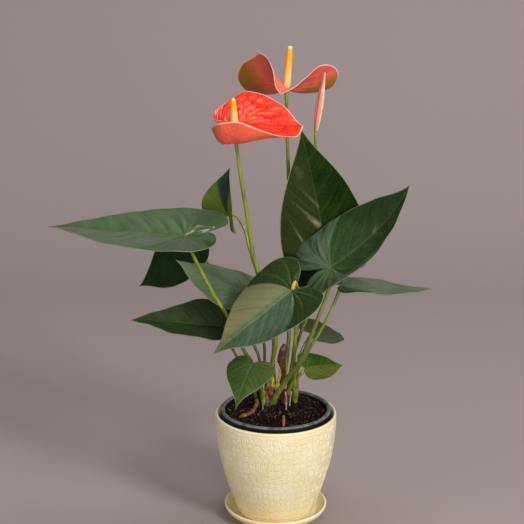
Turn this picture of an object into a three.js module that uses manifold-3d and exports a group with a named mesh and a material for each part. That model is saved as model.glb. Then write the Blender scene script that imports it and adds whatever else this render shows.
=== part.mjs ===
// A potted anthurium: twelve heart-shaped leaves on long petioles, two open coral-red
// spathes with their spadices, one spathe still rolled up, and old roots, standing in peat
// in a plastic grow pot inside a glazed cover pot on its saucer.
//
// Frame: millimetres, +Z up, the origin at the centre of the saucer's underside, on the
// pot's axis. +X is to the right of the plant as it is usually looked at, and -Y its front.
import * as THREE from 'three';
import { mergeVertices } from 'three/addons/utils/BufferGeometryUtils.js';
import Module from 'manifold-3d';

const wasm = await Module();
wasm.setup();

// ---------------------------------------------------------------- driving dimensions

const GAP = 0.3;              // clearance between two pieces that touch
const RIM_RADIUS = 70;        // cover pot, outside of the rim
const RIM_HEIGHT = 127;       // cover pot, top of the rim above the saucer's underside
const POT_WALL = 4.5;         // cover pot, wall
const RIM_WALL = 3.5;         // cover pot, wall at the rim
const RIM_BAND = 7;           // cover pot, height of the plain band under the rim
const POT_BASE_RADIUS = 43;
const POT_FLOOR = 5;          // cover pot, thickness of the floor
const DRAIN_RADIUS = 6;       // cover pot, drain hole

const SAUCER_RADIUS = 60;
const SAUCER_HEIGHT = 14;
const SAUCER_FLOOR = 4.7;
const SAUCER_FOOT_RADIUS = 47;
const SAUCER_LIP = 3;

const GROW_RIM_RADIUS = 64;   // grow pot, outside of the rolled rim, which stands a little
const GROW_RIM_HEIGHT = 132;  // above the rim of the cover pot
const GROW_RIM_DEPTH = 9;
const GROW_RIM_WIDTH = 3.5;   // how far the rolled rim stands out from the wall
const GROW_WALL = 1.5;
const GROW_BASE_RADIUS = 40;
const GROW_DRAINS = 4;        // drain holes in the grow pot's floor
const GROW_DRAIN_RADIUS = 3.5;
const GROW_DRAIN_RING = 24;

const SOIL_EDGE = 126;        // height of the peat at the grow pot's wall
const SOIL_CLEAR = 6;         // peat begins this far above the grow pot's floor
const MOUND_HEIGHT = 12;      // the peat rises to the crown of the plant
const MOUND_SPREAD = 24;
const MOUND_CENTRE = [2, 16];
const SOIL_TWIST = 2;         // the peat lies higher at the back right and the front left
const CLOD_HEIGHT = 0.8;      // unevenness of the peat

const STEM_FOOT = 96;         // stems reach down to this height inside the peat
const STEM_FREE = 138;        // and leave their holes upright up to here

const BLADE_THICKNESS = 1.0;
const SPATHE_THICKNESS = 1.2;

const POT_SIDES = 44;
const STEM_SIDES = 6;
const BLADE_STEPS = 12;       // steps along each half of a leaf's outline
const BLADE_RINGS = 3;        // rings from the knee of a leaf out to its edge
const SPATHE_STEPS = 14;
const SPATHE_RINGS = 4;

// Leaves. knee: where the petiole meets the blade; tip: the blade's tip; face: the way the
// upper side looks, as degrees round from the front to the right and degrees up. width is
// across the flattened blade and lobe how far the two lobes reach back past the knee. In
// degrees: fold of each half at the midrib, cup of the left and the right half from midrib
// to edge, droop of the midrib from knee to tip and curl of the lobes towards the upper side.
const LEAVES = {
  leaf_1: { knee: [-99, -50, 349], tip: [-262, 34, 339], face: [0, 80], width: 114, lobe: 53,
    fold: 8, cup: [-4, 4], droop: 2, curl: -22 },
  leaf_2: { knee: [-55, 40, 352], tip: [-52, 0, 415], face: [-31, -3], width: 56, lobe: 28,
    fold: 24, cup: [-5, 28], droop: 36, curl: 100 },
  leaf_3: { knee: [-93, 73, 309], tip: [-167, 123, 241], face: [0, 40], width: 92, lobe: 25,
    fold: 5, cup: [30, -20], droop: 8, curl: 0 },
  leaf_4: { knee: [-38, 3, 270], tip: [-115, 22, 303], face: [-4, 72], width: 82, lobe: 20,
    fold: -6, cup: [20, -5], droop: -4, curl: 0 },
  leaf_5: { knee: [-61, -26, 238], tip: [-167, 6, 236], face: [0, 74], width: 84, lobe: 25,
    fold: 14, cup: [0, 0], droop: 6, curl: 0 },
  leaf_6: { knee: [17, -74, 295], tip: [-67, -98, 231], face: [-5, 64], width: 116, lobe: 42,
    fold: 5, cup: [22, -25], droop: 0, curl: -8 },
  leaf_7: { knee: [57, 32, 312], tip: [28, 68, 441], face: [7, 11], width: 106, lobe: 48,
    fold: 14, cup: [0, 26], droop: 30, curl: -20 },
  leaf_8: { knee: [61, -24, 308], tip: [140, -68, 410], face: [-26, 43], width: 112, lobe: 50,
    fold: 10, cup: [-30, 50], droop: -46, curl: -30 },
  leaf_9: { knee: [74, -12, 283], tip: [182, 50, 260], face: [0, 80], width: 76, lobe: 20,
    fold: 0, cup: [-8, 22], droop: 0, curl: -20 },
  leaf_10: { knee: [43, 56, 204], tip: [83, 98, 193], face: [10, 78], width: 60, lobe: 20,
    fold: 4, cup: [14, 14], droop: 60, curl: 0 },
  leaf_11: { knee: [36, 14, 175], tip: [80, 50, 166], face: [0, 45], width: 44, lobe: 9,
    fold: 0, cup: [-10, 34], droop: 14, curl: 0 },
  leaf_12: { knee: [-26, -46, 201], tip: [-44, -92, 165], face: [-12, 30], width: 54, lobe: 22,
    fold: 0, cup: [-12, -6], droop: 46, curl: 10 },
};

// Petioles and flower stalks: foot on the peat as [x, y], then the points that the stem
// passes through on its way up, and its radius at the foot and at the top.
const PETIOLES = {
  petiole_1: { foot: [-15, 13], radius: [2.4, 1.9],
    via: [[-27, -6, 187], [-37, -20, 210], [-55, -34, 255], [-67, -40, 277], [-86, -48, 318],
      [-99, -50, 348]] },
  petiole_2: { foot: [-1, 21], radius: [2.2, 1.7],
    via: [[-3, 14, 185], [-3, 9, 217], [-9, 13, 252], [-21, 20, 286], [-31, 27, 317],
      [-36, 34, 335], [-45, 39, 350], [-54, 40, 352]] },
  petiole_3: { foot: [-17, 32], radius: [2.0, 1.6],
    via: [[-19, 30, 177], [-25, 34, 195], [-39, 46, 217], [-62, 66, 252], [-82, 75, 288],
      [-93, 73, 308]] },
  petiole_4: { foot: [-11, 24], radius: [2.0, 1.6],
    via: [[-13, 16, 184], [-14, 10, 207], [-23, 7, 239], [-33, 4, 261], [-38, 3, 269]] },
  petiole_5: { foot: [-23, 15], radius: [2.0, 1.6],
    via: [[-34, 3, 177], [-42, -14, 195], [-49, -19, 210], [-57, -25, 230], [-61, -26, 237]] },
  petiole_6: { foot: [22, 12], radius: [2.2, 1.8],
    via: [[21, -4, 189], [22, -26, 233], [25, -42, 268], [24, -60, 291], [17.8, -72.7, 293.6]] },
  petiole_7: { foot: [14, 28], radius: [2.2, 1.8],
    via: [[20, 20, 185], [29, 14, 219], [39, 20, 242], [49, 33, 270], [54, 37, 292], [57, 35, 309.5]] },
  petiole_8: { foot: [-3, 1], radius: [3.6, 1.8],
    via: [[12, -9, 169], [28, -24, 201], [40, -27, 241], [55, -23, 281], [63, -22.4, 307]] },
  petiole_9: { foot: [11, 5], radius: [2.4, 1.7],
    via: [[24, -10, 180], [35, -19, 205], [58, -19, 247], [69, -13, 272], [74, -12, 282]] },
  petiole_10: { foot: [25, 35], radius: [2.0, 1.6],
    via: [[26, 33, 172], [32, 44, 190], [41, 55, 201], [43, 56, 203]] },
  petiole_11: { foot: [23, 18], radius: [2.0, 1.6],
    via: [[25, 12, 161], [30, 10, 171], [35.5, 15, 173.2]] },
  petiole_12: { foot: [-15, 5], radius: [2.0, 1.6],
    via: [[-18, -7, 162], [-25, -33, 186], [-26, -46, 200]] },
};
const STALKS = {
  stalk_a: { foot: [-8, 12], radius: [2.8, 2.0],
    via: [[-4, 0, 188], [0, -12, 218], [-6, -15, 245], [-14, -19, 275], [-21, -24, 306],
      [-26, -27, 325], [-31, -33, 363], [-37, -38, 403], [-43, -42, 448], [-45, -42, 469]] },
  stalk_b: { foot: [7, 28], radius: [2.6, 1.9],
    via: [[11, 25, 169], [15, 28, 211], [15, 42, 273], [15, 54, 330], [14, 60, 388],
      [12, 60, 446], [11, 60, 492]] },
  stalk_c: { foot: [17, 36], radius: [2.2, 1.6],
    via: [[21, 34, 190], [30, 48, 247], [38, 62, 316], [44, 70, 386], [45, 72, 424],
      [45, 72, 443]] },
};

// Open spathes. Each edge runs from the notch behind the spadix to the tip, as points
// [x, y, z, sag]: sag is how far the surface between knee and edge bulges along `hang`.
const SPATHES = {
  spathe_a: { knee: [-45, -42, 471], tip: [28, -66, 472], hang: [0, -0.35, -0.94],
    left: [[-56, -32, 472, 2], [-68, -24, 473, 6], [-67, -12, 480, 8], [-60, -2, 486, 8],
      [-43, 4, 496, 6], [-31, 2, 499, 5], [-16, -8, 498, 4], [-3, -20, 493, 3],
      [9, -36, 488, 2], [21, -55, 477, 1]],
    right: [[-54, -52, 469, 5], [-64, -66, 473, 16], [-55, -84, 480, 23], [-41, -92, 481, 23],
      [-30, -94, 477, 18], [-10, -92, 471, 9], [5, -86, 465, 3], [20, -76, 465, 1]] },
  spathe_b: { knee: [11, 60, 494], tip: [4, -4, 497], hang: [0, 0.2, -1],
    left: [[16, 76, 490, 1], [23, 90, 486, 2], [39, 98, 484, 3], [55, 100, 486, 4],
      [67, 94, 494, 5], [71, 86, 505, 6], [67, 76, 514, 7], [59, 64, 520, 8],
      [48, 48, 520, 8], [37, 32, 511, 6], [28, 18, 504, 4], [19, 4, 499, 2]],
    right: [[5, 76, 489, 1], [0, 88, 486, 2], [-15, 96, 482, 3], [-33, 98, 485, 4],
      [-42, 92, 495, 5], [-45, 84, 506, 6], [-39, 74, 520, 7], [-27, 62, 529, 8],
      [-19, 48, 535, 8], [-10, 34, 531, 7], [-5, 22, 520, 5], [-1, 6, 504, 2]] },
};

// Spadices and the rolled spathe: a round body along a line, as its two ends and its
// radii from the first end to the second.
const SPADICES = {
  spadix_a: { from: [-45, -42, 471], to: [-46, -42, 498], radii: [4.6, 4.6, 4.4, 4.0, 2.6] },
  spadix_b: { from: [11, 60, 494], to: [14, 57, 542], radii: [4.6, 4.6, 4.3, 3.9, 2.6] },
};
const ROLLED_SPATHE = { from: [45, 72, 443.5], to: [53, 52, 512],
  radii: [2.0, 3.4, 3.8, 3.2, 2.2, 0.9] };

// Crown stub, dry sheaths and roots: the points they pass through and their radii from the
// first point to the last.
const SMALL_PARTS = {
  crown_stub: { via: [[-9.5, 3, 120], [-9.5, 3, 138], [-9.5, 3, 152], [-9, 3, 165]],
    radii: [2.3, 2.3, 2.5, 2.0, 2.2, 1.2], color: 0x6b4a30 },
  sheath_brown: { via: [[6, 12, 118], [6, 12, 138], [8, 12, 166], [6, 12, 184], [8, 12, 205]],
    radii: [1.9, 2.0, 2.2, 2.9, 3.1, 1.0], color: 0x6e3d26 },
  sheath_yellow: { via: [[-2, 9, 122], [-2, 9, 140], [0, 8, 153], [3, 8, 162], [5, 8, 173],
    [1, 8, 185]], radii: [1.2, 1.4, 1.8, 1.8, 1.2, 0.6], color: 0xcdbb30 },
  root_brown: { via: [[-22, 9, 128], [-22, 7, 138], [-22, 0, 136], [-27, -11, 131],
    [-33, -17, 130], [-42, -22, 128.5]], radii: [2.3, 2.4, 2.2, 2.1], color: 0x9a5a36 },
  root_pink: { via: [[9, -19, 124], [9, -21, 129], [9, -30, 129.5], [9, -38, 127.5],
    [9, -44, 123]], radii: [1.5, 1.8, 1.7, 1.2], color: 0xb0625c },
  root_left: { via: [[-15, -1, 124], [-15, -1, 137], [-15, -5, 135], [-15, -9, 126]],
    radii: [0.9, 0.9], color: 0x8f9468 },
  root_middle: { via: [[12, -8, 122], [12, -8, 134], [12, -7, 144], [11, -6, 154]],
    radii: [0.9, 0.8], color: 0xbfae8e },
  root_right: { via: [[16, 0, 122], [16, 0, 135], [17, 2, 144], [18, 4, 151]],
    radii: [0.9, 0.8], color: 0xc7b592 },
};

// ---------------------------------------------------------------- finishes

const finish = (color, roughness) =>
  new THREE.MeshStandardMaterial({ color, roughness, metalness: 0 });
const CREAM_GLAZE = 0xddd3b0;
const BLACK_PLASTIC = 0x45474a;
const PEAT = 0x2c1c15;
const LEAF_GREENS = [0x35562f, 0x2c4a30, 0x1d3a1b, 0x4a6650];
const STEM_GREEN = 0x7d9436;
const CORAL = 0xe2463a;
const SALMON = 0xf08a78;
const SPADIX_YELLOW = 0xf0bf3c;

// ---------------------------------------------------------------- shared helpers

const rad = THREE.MathUtils.degToRad;
const vec = (p) => new THREE.Vector3(p[0], p[1], p[2]);
const lerp = THREE.MathUtils.lerp;

function toGeometry(points, faces) {
  const geometry = new THREE.BufferGeometry();
  geometry.setAttribute('position', new THREE.Float32BufferAttribute(points.flat(), 3));
  geometry.setIndex(faces.flat());
  return geometry;
}

function toSolid(geometry) {
  const bare = geometry.clone();
  bare.deleteAttribute('normal');
  bare.deleteAttribute('uv');
  const merged = mergeVertices(bare, 1e-4);
  return new wasm.Manifold(new wasm.Mesh({
    numProp: 3,
    vertProperties: new Float32Array(merged.attributes.position.array),
    triVerts: new Uint32Array(merged.index.array),
  }));
}

function fromSolid(solid) {
  const mesh = solid.getMesh();
  const geometry = new THREE.BufferGeometry();
  geometry.setAttribute('position', new THREE.BufferAttribute(mesh.vertProperties, 3));
  geometry.setIndex(new THREE.BufferAttribute(mesh.triVerts, 1));
  return geometry;
}

// The biggest piece of a solid that a cut may have split.
function largest(solid) {
  const pieces = solid.decompose();
  return pieces.reduce((a, b) => (b.volume() > a.volume() ? b : a));
}

function lathe(profile, sides = POT_SIDES) {
  const outline = profile.map(([r, z]) => new THREE.Vector2(r, z));
  const geometry = new THREE.LatheGeometry(outline, sides);
  geometry.rotateX(Math.PI / 2);
  return geometry;
}

// A smooth curve through the points, as an open Catmull-Rom spline.
const curveThrough = (points) =>
  new THREE.CatmullRomCurve3(points.map(vec), false, 'catmullrom', 0.5);

// A closed round body along a curve, with its radius given by a function of 0..1. Its two
// ends reach past the curve by `past`.
function tube(curve, radiusAt, steps, sides, past = 0) {
  const frames = curve.computeFrenetFrames(steps, false);
  const centres = [];
  const points = [];
  const faces = [];
  for (let i = 0; i <= steps; i += 1) {
    const centre = curve.getPointAt(i / steps);
    const end = Number(i === steps) - Number(i === 0);
    centre.addScaledVector(frames.tangents[i], end * past);
    centres.push(centre);
    for (let j = 0; j < sides; j += 1) {
      const turn = (2 * Math.PI * j) / sides;
      const out = frames.normals[i].clone().multiplyScalar(Math.cos(turn))
        .addScaledVector(frames.binormals[i], Math.sin(turn));
      points.push(centre.clone().addScaledVector(out, radiusAt(i / steps)).toArray());
    }
  }
  for (let i = 0; i < steps; i += 1) {
    for (let j = 0; j < sides; j += 1) {
      const a = i * sides + j;
      const b = i * sides + ((j + 1) % sides);
      faces.push([a, b, b + sides], [a, b + sides, a + sides]);
    }
  }
  const first = points.push(centres[0].toArray()) - 1;
  const last = points.push(centres[steps].toArray()) - 1;
  for (let j = 0; j < sides; j += 1) {
    const next = (j + 1) % sides;
    faces.push([first, next, j], [last, steps * sides + j, steps * sides + next]);
  }
  return toGeometry(points, faces);
}

// ---------------------------------------------------------------- leaf blades

const bezier = (p, t) => p.reduce((sum, q, i) => {
  const weight = [1, 3, 3, 1][i] * t ** i * (1 - t) ** (3 - i);
  return [sum[0] + weight * q[0], sum[1] + weight * q[1]];
}, [0, 0]);

// One half of a flat heart from the notch to the tip, as [along, across] points evenly
// spaced: a first curve rounds the lobe to the widest place, a second runs to the tip.
function halfOutline(leaf, length, steps) {
  const half = leaf.width / 2;
  const notch = rad(14);
  const widest = 0.08 * length;
  const slope = Math.tan(notch);
  const lobe = leaf.lobe;
  const first = [[-3 * Math.cos(notch), 3 * Math.sin(notch)], [-0.75 * lobe, 0.75 * lobe * slope],
    [-1.25 * lobe, half], [widest, half]];
  const second = [[widest, half], [widest + 0.45 * (length - widest), half],
    [0.74 * length, 0.22 * half], [length, 0]];
  const dense = [];
  for (let i = 0; i < 60; i += 1) dense.push(bezier(first, i / 60));
  for (let i = 0; i <= 80; i += 1) dense.push(bezier(second, i / 80));
  const path = new THREE.CurvePath();
  for (let i = 1; i < dense.length; i += 1) {
    path.add(new THREE.LineCurve(new THREE.Vector2(...dense[i - 1]),
      new THREE.Vector2(...dense[i])));
  }
  const points = [];
  for (let i = 0; i <= steps; i += 1) points.push(path.getPointAt(i / steps).toArray());
  return points;
}

const arc = (s, k) => (Math.abs(k) < 1e-6 ? [s, 0] : [Math.sin(k * s) / k, (1 - Math.cos(k * s)) / k]);

// How a leaf lies: its knee, its axes along, across (to its left) and out of its upper
// side, and the true length of the midrib, whose arc spans the line from knee to tip.
function leafFrame(leaf) {
  const knee = vec(leaf.knee);
  const chord = vec(leaf.tip).sub(knee);
  const halfTurn = rad(leaf.droop) / 2;
  const length = chord.length() * (halfTurn ? halfTurn / Math.sin(halfTurn) : 1);
  chord.normalize();
  const [turn, lift] = leaf.face.map(rad);
  const upper = new THREE.Vector3(Math.sin(turn) * Math.cos(lift),
    -Math.cos(turn) * Math.cos(lift), Math.sin(lift));
  upper.addScaledVector(chord, -upper.dot(chord)).normalize();
  const across = upper.clone().cross(chord);
  const along = chord.clone().multiplyScalar(Math.cos(halfTurn))
    .addScaledVector(upper, Math.sin(halfTurn));
  const out = upper.clone().multiplyScalar(Math.cos(halfTurn))
    .addScaledVector(chord, -Math.sin(halfTurn));
  return { knee, along, across, out, length };
}

// Bends the flat point [a, b]: each half turns by its fold and then evenly by its cup, and
// the midrib turns by the droop ahead of the knee and by the curl behind it.
function bendPoint(leaf, frame, a, b) {
  const side = b >= 0 ? 0 : 1;
  const fold = rad(leaf.fold);
  const cup = rad(leaf.cup[side]) / (leaf.width / 2) || 1e-6;
  const turned = fold + cup * Math.abs(b);
  const y = (Math.sign(b) * (Math.sin(turned) - Math.sin(fold))) / cup;
  const rise = (Math.cos(fold) - Math.cos(turned)) / cup;
  const bendRate = a >= 0 ? -rad(leaf.droop) / frame.length : rad(leaf.curl) / leaf.lobe;
  const [x, z] = arc(a, bendRate);
  const angle = bendRate * a;
  return frame.knee.clone()
    .addScaledVector(frame.along, x - Math.sin(angle) * rise)
    .addScaledVector(frame.across, y)
    .addScaledVector(frame.out, z + Math.cos(angle) * rise);
}

// A closed sheet over a fan of points. grid[0] is the knee alone; every further ring runs
// from one side of the notch round the tip to the other side. Both faces are split alike.
function sheet(grid, thickness) {
  const knee = grid[0][0];
  const count = grid[1].length;
  const at = (i, j) => (i === 0 ? knee : grid[i][Math.min(Math.max(j, 0), count - 1)]);
  const normalAt = (i, j) => {
    const outward = at(Math.min(i + 1, grid.length - 1), j).clone().sub(at(Math.max(i - 1, 0), j));
    const round = at(Math.max(i, 1), j + 1).clone().sub(at(Math.max(i, 1), j - 1));
    return round.cross(outward).normalize();
  };
  const kneeNormal = new THREE.Vector3();
  for (let j = 0; j < count; j += 1) kneeNormal.add(normalAt(1, j));
  kneeNormal.normalize();
  const points = [];
  const faces = [];
  const half = thickness / 2;
  const index = (i, j, face) => (i === 0 ? 0 : 1 + (i - 1) * count + j) * 2 + face;
  for (let i = 0; i < grid.length; i += 1) {
    for (let j = 0; j < (i === 0 ? 1 : count); j += 1) {
      const normal = i === 0 ? kneeNormal : normalAt(i, j);
      points.push(at(i, j).clone().addScaledVector(normal, half).toArray());
      points.push(at(i, j).clone().addScaledVector(normal, -half).toArray());
    }
  }
  const both = (a, b, c) => {
    faces.push([index(...a, 0), index(...c, 0), index(...b, 0)]);
    faces.push([index(...a, 1), index(...b, 1), index(...c, 1)]);
  };
  for (let j = 0; j + 1 < count; j += 1) {
    both([0, 0], [1, j], [1, j + 1]);
    for (let i = 1; i + 1 < grid.length; i += 1) {
      both([i, j], [i + 1, j], [i + 1, j + 1]);
      both([i, j], [i + 1, j + 1], [i, j + 1]);
    }
  }
  const wall = (a, b) => {
    faces.push([index(...a, 0), index(...a, 1), index(...b, 1)]);
    faces.push([index(...a, 0), index(...b, 1), index(...b, 0)]);
  };
  const edge = grid.length - 1;
  for (let j = 0; j + 1 < count; j += 1) wall([edge, j + 1], [edge, j]);
  for (let i = 0; i < edge; i += 1) {
    wall([i + 1, 0], [i, 0]);
    wall([i, count - 1], [i + 1, count - 1]);
  }
  return toGeometry(points, faces);
}

function bladeSheet(leaf, thickness) {
  const frame = leafFrame(leaf);
  const half = halfOutline(leaf, frame.length, BLADE_STEPS);
  const rim = [...half, ...half.slice(0, -1).reverse().map(([a, b]) => [a, -b])];
  const grid = [[frame.knee]];
  for (let i = 1; i <= BLADE_RINGS; i += 1) {
    const t = i / BLADE_RINGS;
    grid.push(rim.map(([a, b]) => bendPoint(leaf, frame, t * a, t * b)));
  }
  return sheet(grid, thickness);
}

// ---------------------------------------------------------------- spathes

// Edge points of one side, evenly spaced from the knee's notch to the tip. The fourth
// number of each point travels along on a second curve.
function spatheEdge(spathe, side, steps) {
  const nodes = [[...spathe.knee, 0], ...spathe[side], [...spathe.tip, 0]];
  const place = curveThrough(nodes);
  const sagCurve = curveThrough(nodes.map((p, i) => [p[3], i, 0]));
  const edge = [];
  for (let i = 1; i <= steps; i += 1) {
    const t = place.getUtoTmapping(i / steps);
    edge.push({ point: place.getPoint(t), sag: sagCurve.getPoint(t).x });
  }
  return edge;
}

function spatheSheet(spathe, thickness) {
  const left = spatheEdge(spathe, 'left', SPATHE_STEPS);
  const right = spatheEdge(spathe, 'right', SPATHE_STEPS);
  const rim = [...left, ...right.slice(0, -1).reverse()];
  const knee = vec(spathe.knee);
  const hang = vec(spathe.hang).normalize();
  const grid = [[knee]];
  for (let i = 1; i <= SPATHE_RINGS; i += 1) {
    const t = i / SPATHE_RINGS;
    grid.push(rim.map(({ point, sag }) => knee.clone().lerp(point, t)
      .addScaledVector(hang, 4 * t * (1 - t) * sag)));
  }
  return sheet(grid, thickness);
}

// ---------------------------------------------------------------- stems, spadices, roots

// A radius that follows a list of values evenly spread from the first end to the second.
const radiusAlong = (radii) => (t) => {
  const place = t * (radii.length - 1);
  const i = Math.min(Math.floor(place), radii.length - 2);
  return lerp(radii[i], radii[i + 1], place - i);
};

function stemCurve(stem) {
  const [x, y] = stem.foot;
  return curveThrough([[x, y, STEM_FOOT], [x, y, 118], [x, y, STEM_FREE], ...stem.via]);
}

const stemSteps = (curve) => Math.round(curve.getLength() / 24) + 4;

function stemTube(stem, grow = 0) {
  const curve = stemCurve(stem);
  const radiusAt = radiusAlong(stem.radius);
  return tube(curve, (t) => radiusAt(t) + grow, stemSteps(curve), STEM_SIDES, grow);
}

// A spindle along a straight line: a lathe profile through the radii, closed by a low dome.
function spindle({ from, to, radii }, sides = 12) {
  const start = vec(from);
  const axis = vec(to).sub(start);
  const length = axis.length();
  const last = radii.length - 1;
  const wall = radii.map((r, i) => [r, (i / last) * length * 0.96]);
  const geometry = lathe([[0, 0], ...wall, [radii[last] * 0.6, length * 0.99], [0, length]],
    sides);
  const turn = new THREE.Quaternion()
    .setFromUnitVectors(new THREE.Vector3(0, 0, 1), axis.normalize());
  geometry.applyQuaternion(turn);
  geometry.translate(start.x, start.y, start.z);
  return geometry;
}

function smallTube({ via, radii }, grow = 0) {
  const radiusAt = radiusAlong(radii);
  return tube(curveThrough(via), (t) => radiusAt(t) + grow, 9, STEM_SIDES, grow);
}

// ---------------------------------------------------------------- pots and peat

// Outside of the cover pot: steep at the rim, drawn in faster and faster to the base.
const POT_PROFILE = [[109, -0.6], [88, -2.9], [71, -6], [48, -12], [28, -18.4], [10, -24.4]].map(([z, inset]) => [RIM_RADIUS + inset, z]);
const POT_BASE = SAUCER_FLOOR + GAP;

function coverPot() {
  const floor = POT_BASE + POT_FLOOR;
  const outside = [[POT_BASE_RADIUS - 3, POT_BASE], [POT_BASE_RADIUS, POT_BASE + 1],
    [POT_BASE_RADIUS + 1.8, POT_BASE + 3], ...POT_PROFILE.slice().reverse(),
    [RIM_RADIUS - 0.6, RIM_HEIGHT - RIM_BAND], [RIM_RADIUS, RIM_HEIGHT - RIM_BAND + 0.8],
    [RIM_RADIUS, RIM_HEIGHT - 1.4], [RIM_RADIUS - 1.2, RIM_HEIGHT]];
  const inside = [[RIM_RADIUS - RIM_WALL + 1, RIM_HEIGHT], [RIM_RADIUS - RIM_WALL, RIM_HEIGHT - 1],
    ...POT_PROFILE.filter(([, z]) => z > floor + 4).map(([r, z]) => [r - POT_WALL, z]),
    [POT_BASE_RADIUS - 1, floor]];
  const body = [[DRAIN_RADIUS, POT_BASE], ...outside, ...inside, [DRAIN_RADIUS, floor],
    [DRAIN_RADIUS, POT_BASE]];
  return lathe(body);
}

function saucer() {
  const top = SAUCER_HEIGHT;
  const inner = SAUCER_RADIUS - SAUCER_LIP;
  return lathe([[0, 0], [SAUCER_FOOT_RADIUS, 0], [SAUCER_FOOT_RADIUS + 5, 3],
    [SAUCER_RADIUS - 2.2, 8], [SAUCER_RADIUS, top - 1.2], [SAUCER_RADIUS - 1, top],
    [inner + 0.8, top], [inner, top - 1], [inner - 4, 8], [SAUCER_FOOT_RADIUS + 2, SAUCER_FLOOR],
    [0, SAUCER_FLOOR]]);
}

const GROW_BASE = POT_BASE + POT_FLOOR + GAP;
const growRadius = (z) => lerp(GROW_BASE_RADIUS, GROW_RIM_RADIUS - GROW_RIM_WIDTH,
  (z - GROW_BASE) / (GROW_RIM_HEIGHT - GROW_BASE));

function growPot() {
  const floor = GROW_BASE + GROW_WALL;
  const lip = GROW_RIM_HEIGHT - GROW_RIM_DEPTH;
  const inner = (z) => growRadius(z) - GROW_WALL;
  let body = toSolid(lathe([[0, GROW_BASE], [GROW_BASE_RADIUS, GROW_BASE], [growRadius(60), 60],
    [growRadius(lip), lip], [GROW_RIM_RADIUS, lip], [GROW_RIM_RADIUS, GROW_RIM_HEIGHT - 1],
    [GROW_RIM_RADIUS - 1, GROW_RIM_HEIGHT], [inner(GROW_RIM_HEIGHT) + 0.6, GROW_RIM_HEIGHT],
    [inner(GROW_RIM_HEIGHT), GROW_RIM_HEIGHT - 0.8], [inner(60), 60], [inner(floor), floor],
    [0, floor]], 48));
  for (let i = 0; i < GROW_DRAINS; i += 1) {
    const turn = (2 * Math.PI * (i + 0.5)) / GROW_DRAINS;
    const drain = new THREE.CylinderGeometry(GROW_DRAIN_RADIUS, GROW_DRAIN_RADIUS, 10, 12);
    drain.rotateX(Math.PI / 2);
    drain.translate(GROW_DRAIN_RING * Math.cos(turn), GROW_DRAIN_RING * Math.sin(turn), GROW_BASE);
    body = body.subtract(toSolid(drain));
  }
  return body;
}

// Height of the peat: level at the wall, a mound under the crown and small clods.
function soilHeight(x, y) {
  const [cx, cy] = MOUND_CENTRE;
  const away = (x - cx) ** 2 + (y - cy) ** 2;
  const mound = MOUND_HEIGHT * Math.exp(-away / (2 * MOUND_SPREAD ** 2));
  const clods = Math.sin(0.31 * x + 1.7) * Math.cos(0.27 * y) + Math.sin(0.17 * x - 0.23 * y);
  const twist = (SOIL_TWIST * x * y) / GROW_RIM_RADIUS ** 2;
  return SOIL_EDGE + mound + twist + CLOD_HEIGHT * clods;
}

function soilBody() {
  const sides = 30;
  const rings = 6;
  const bottom = GROW_BASE + GROW_WALL + SOIL_CLEAR;
  const inner = (z) => growRadius(z) - GROW_WALL - GAP - 0.2;
  const outer = inner(SOIL_EDGE);
  const points = [[0, 0, soilHeight(0, 0)]];
  const faces = [];
  for (let i = 1; i <= rings; i += 1) {
    for (let j = 0; j < sides; j += 1) {
      const turn = (2 * Math.PI * j) / sides;
      const r = (outer * i) / rings;
      const x = r * Math.cos(turn);
      const y = r * Math.sin(turn);
      points.push([x, y, soilHeight(x, y)]);
    }
  }
  for (let j = 0; j < sides; j += 1) {
    const turn = (2 * Math.PI * j) / sides;
    const r = inner(bottom);
    points.push([r * Math.cos(turn), r * Math.sin(turn), bottom]);
  }
  const centre = points.push([0, 0, bottom]) - 1;
  const at = (i, j) => 1 + (i - 1) * sides + (j % sides);
  for (let j = 0; j < sides; j += 1) {
    faces.push([0, at(1, j), at(1, j + 1)]);
    for (let i = 1; i <= rings; i += 1) {
      faces.push([at(i, j), at(i + 1, j), at(i + 1, j + 1)], [at(i, j), at(i + 1, j + 1), at(i, j + 1)]);
    }
    faces.push([centre, at(rings + 1, j + 1), at(rings + 1, j)]);
  }
  return toSolid(toGeometry(points, faces));
}

// ---------------------------------------------------------------- the plant, piece by piece

const plant = new THREE.Group();

function add(name, geometry, material) {
  const mesh = new THREE.Mesh(geometry, material);
  mesh.name = name;
  plant.add(mesh);
}

const ceramic = finish(CREAM_GLAZE, 0.55);
add('saucer', saucer(), ceramic);
add('cover_pot', coverPot(), ceramic);
add('grow_pot', fromSolid(growPot()), finish(BLACK_PLASTIC, 0.45));

// Everything that stands in the peat takes a plain hole, GAP wider all round.
let soil = soilBody();
const dig = (geometry) => {
  soil = soil.subtract(toSolid(geometry));
};

// A stem is cut off by the blade that it carries and drawn back from it a little more
// than GAP, and its hole moves with it.
function addStem(name, stem, blade, material) {
  const drawBack = stemCurve(stem).getTangentAt(1).multiplyScalar(-1.5 * GAP).toArray();
  const whole = toSolid(stemTube(stem));
  const free = blade ? largest(whole.subtract(toSolid(blade))) : whole;
  add(name, fromSolid(free.translate(drawBack)), material);
  dig(stemTube(stem, GAP).translate(...drawBack));
}

const stemFinish = finish(STEM_GREEN, 0.45);
Object.entries(LEAVES).forEach(([name, leaf], i) => {
  const greens = finish(LEAF_GREENS[i % LEAF_GREENS.length], 0.35);
  const blade = bladeSheet(leaf, BLADE_THICKNESS);
  add(name, blade, greens);
  const petiole = name.replace('leaf', 'petiole');
  addStem(petiole, PETIOLES[petiole], blade, stemFinish);
});

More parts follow.
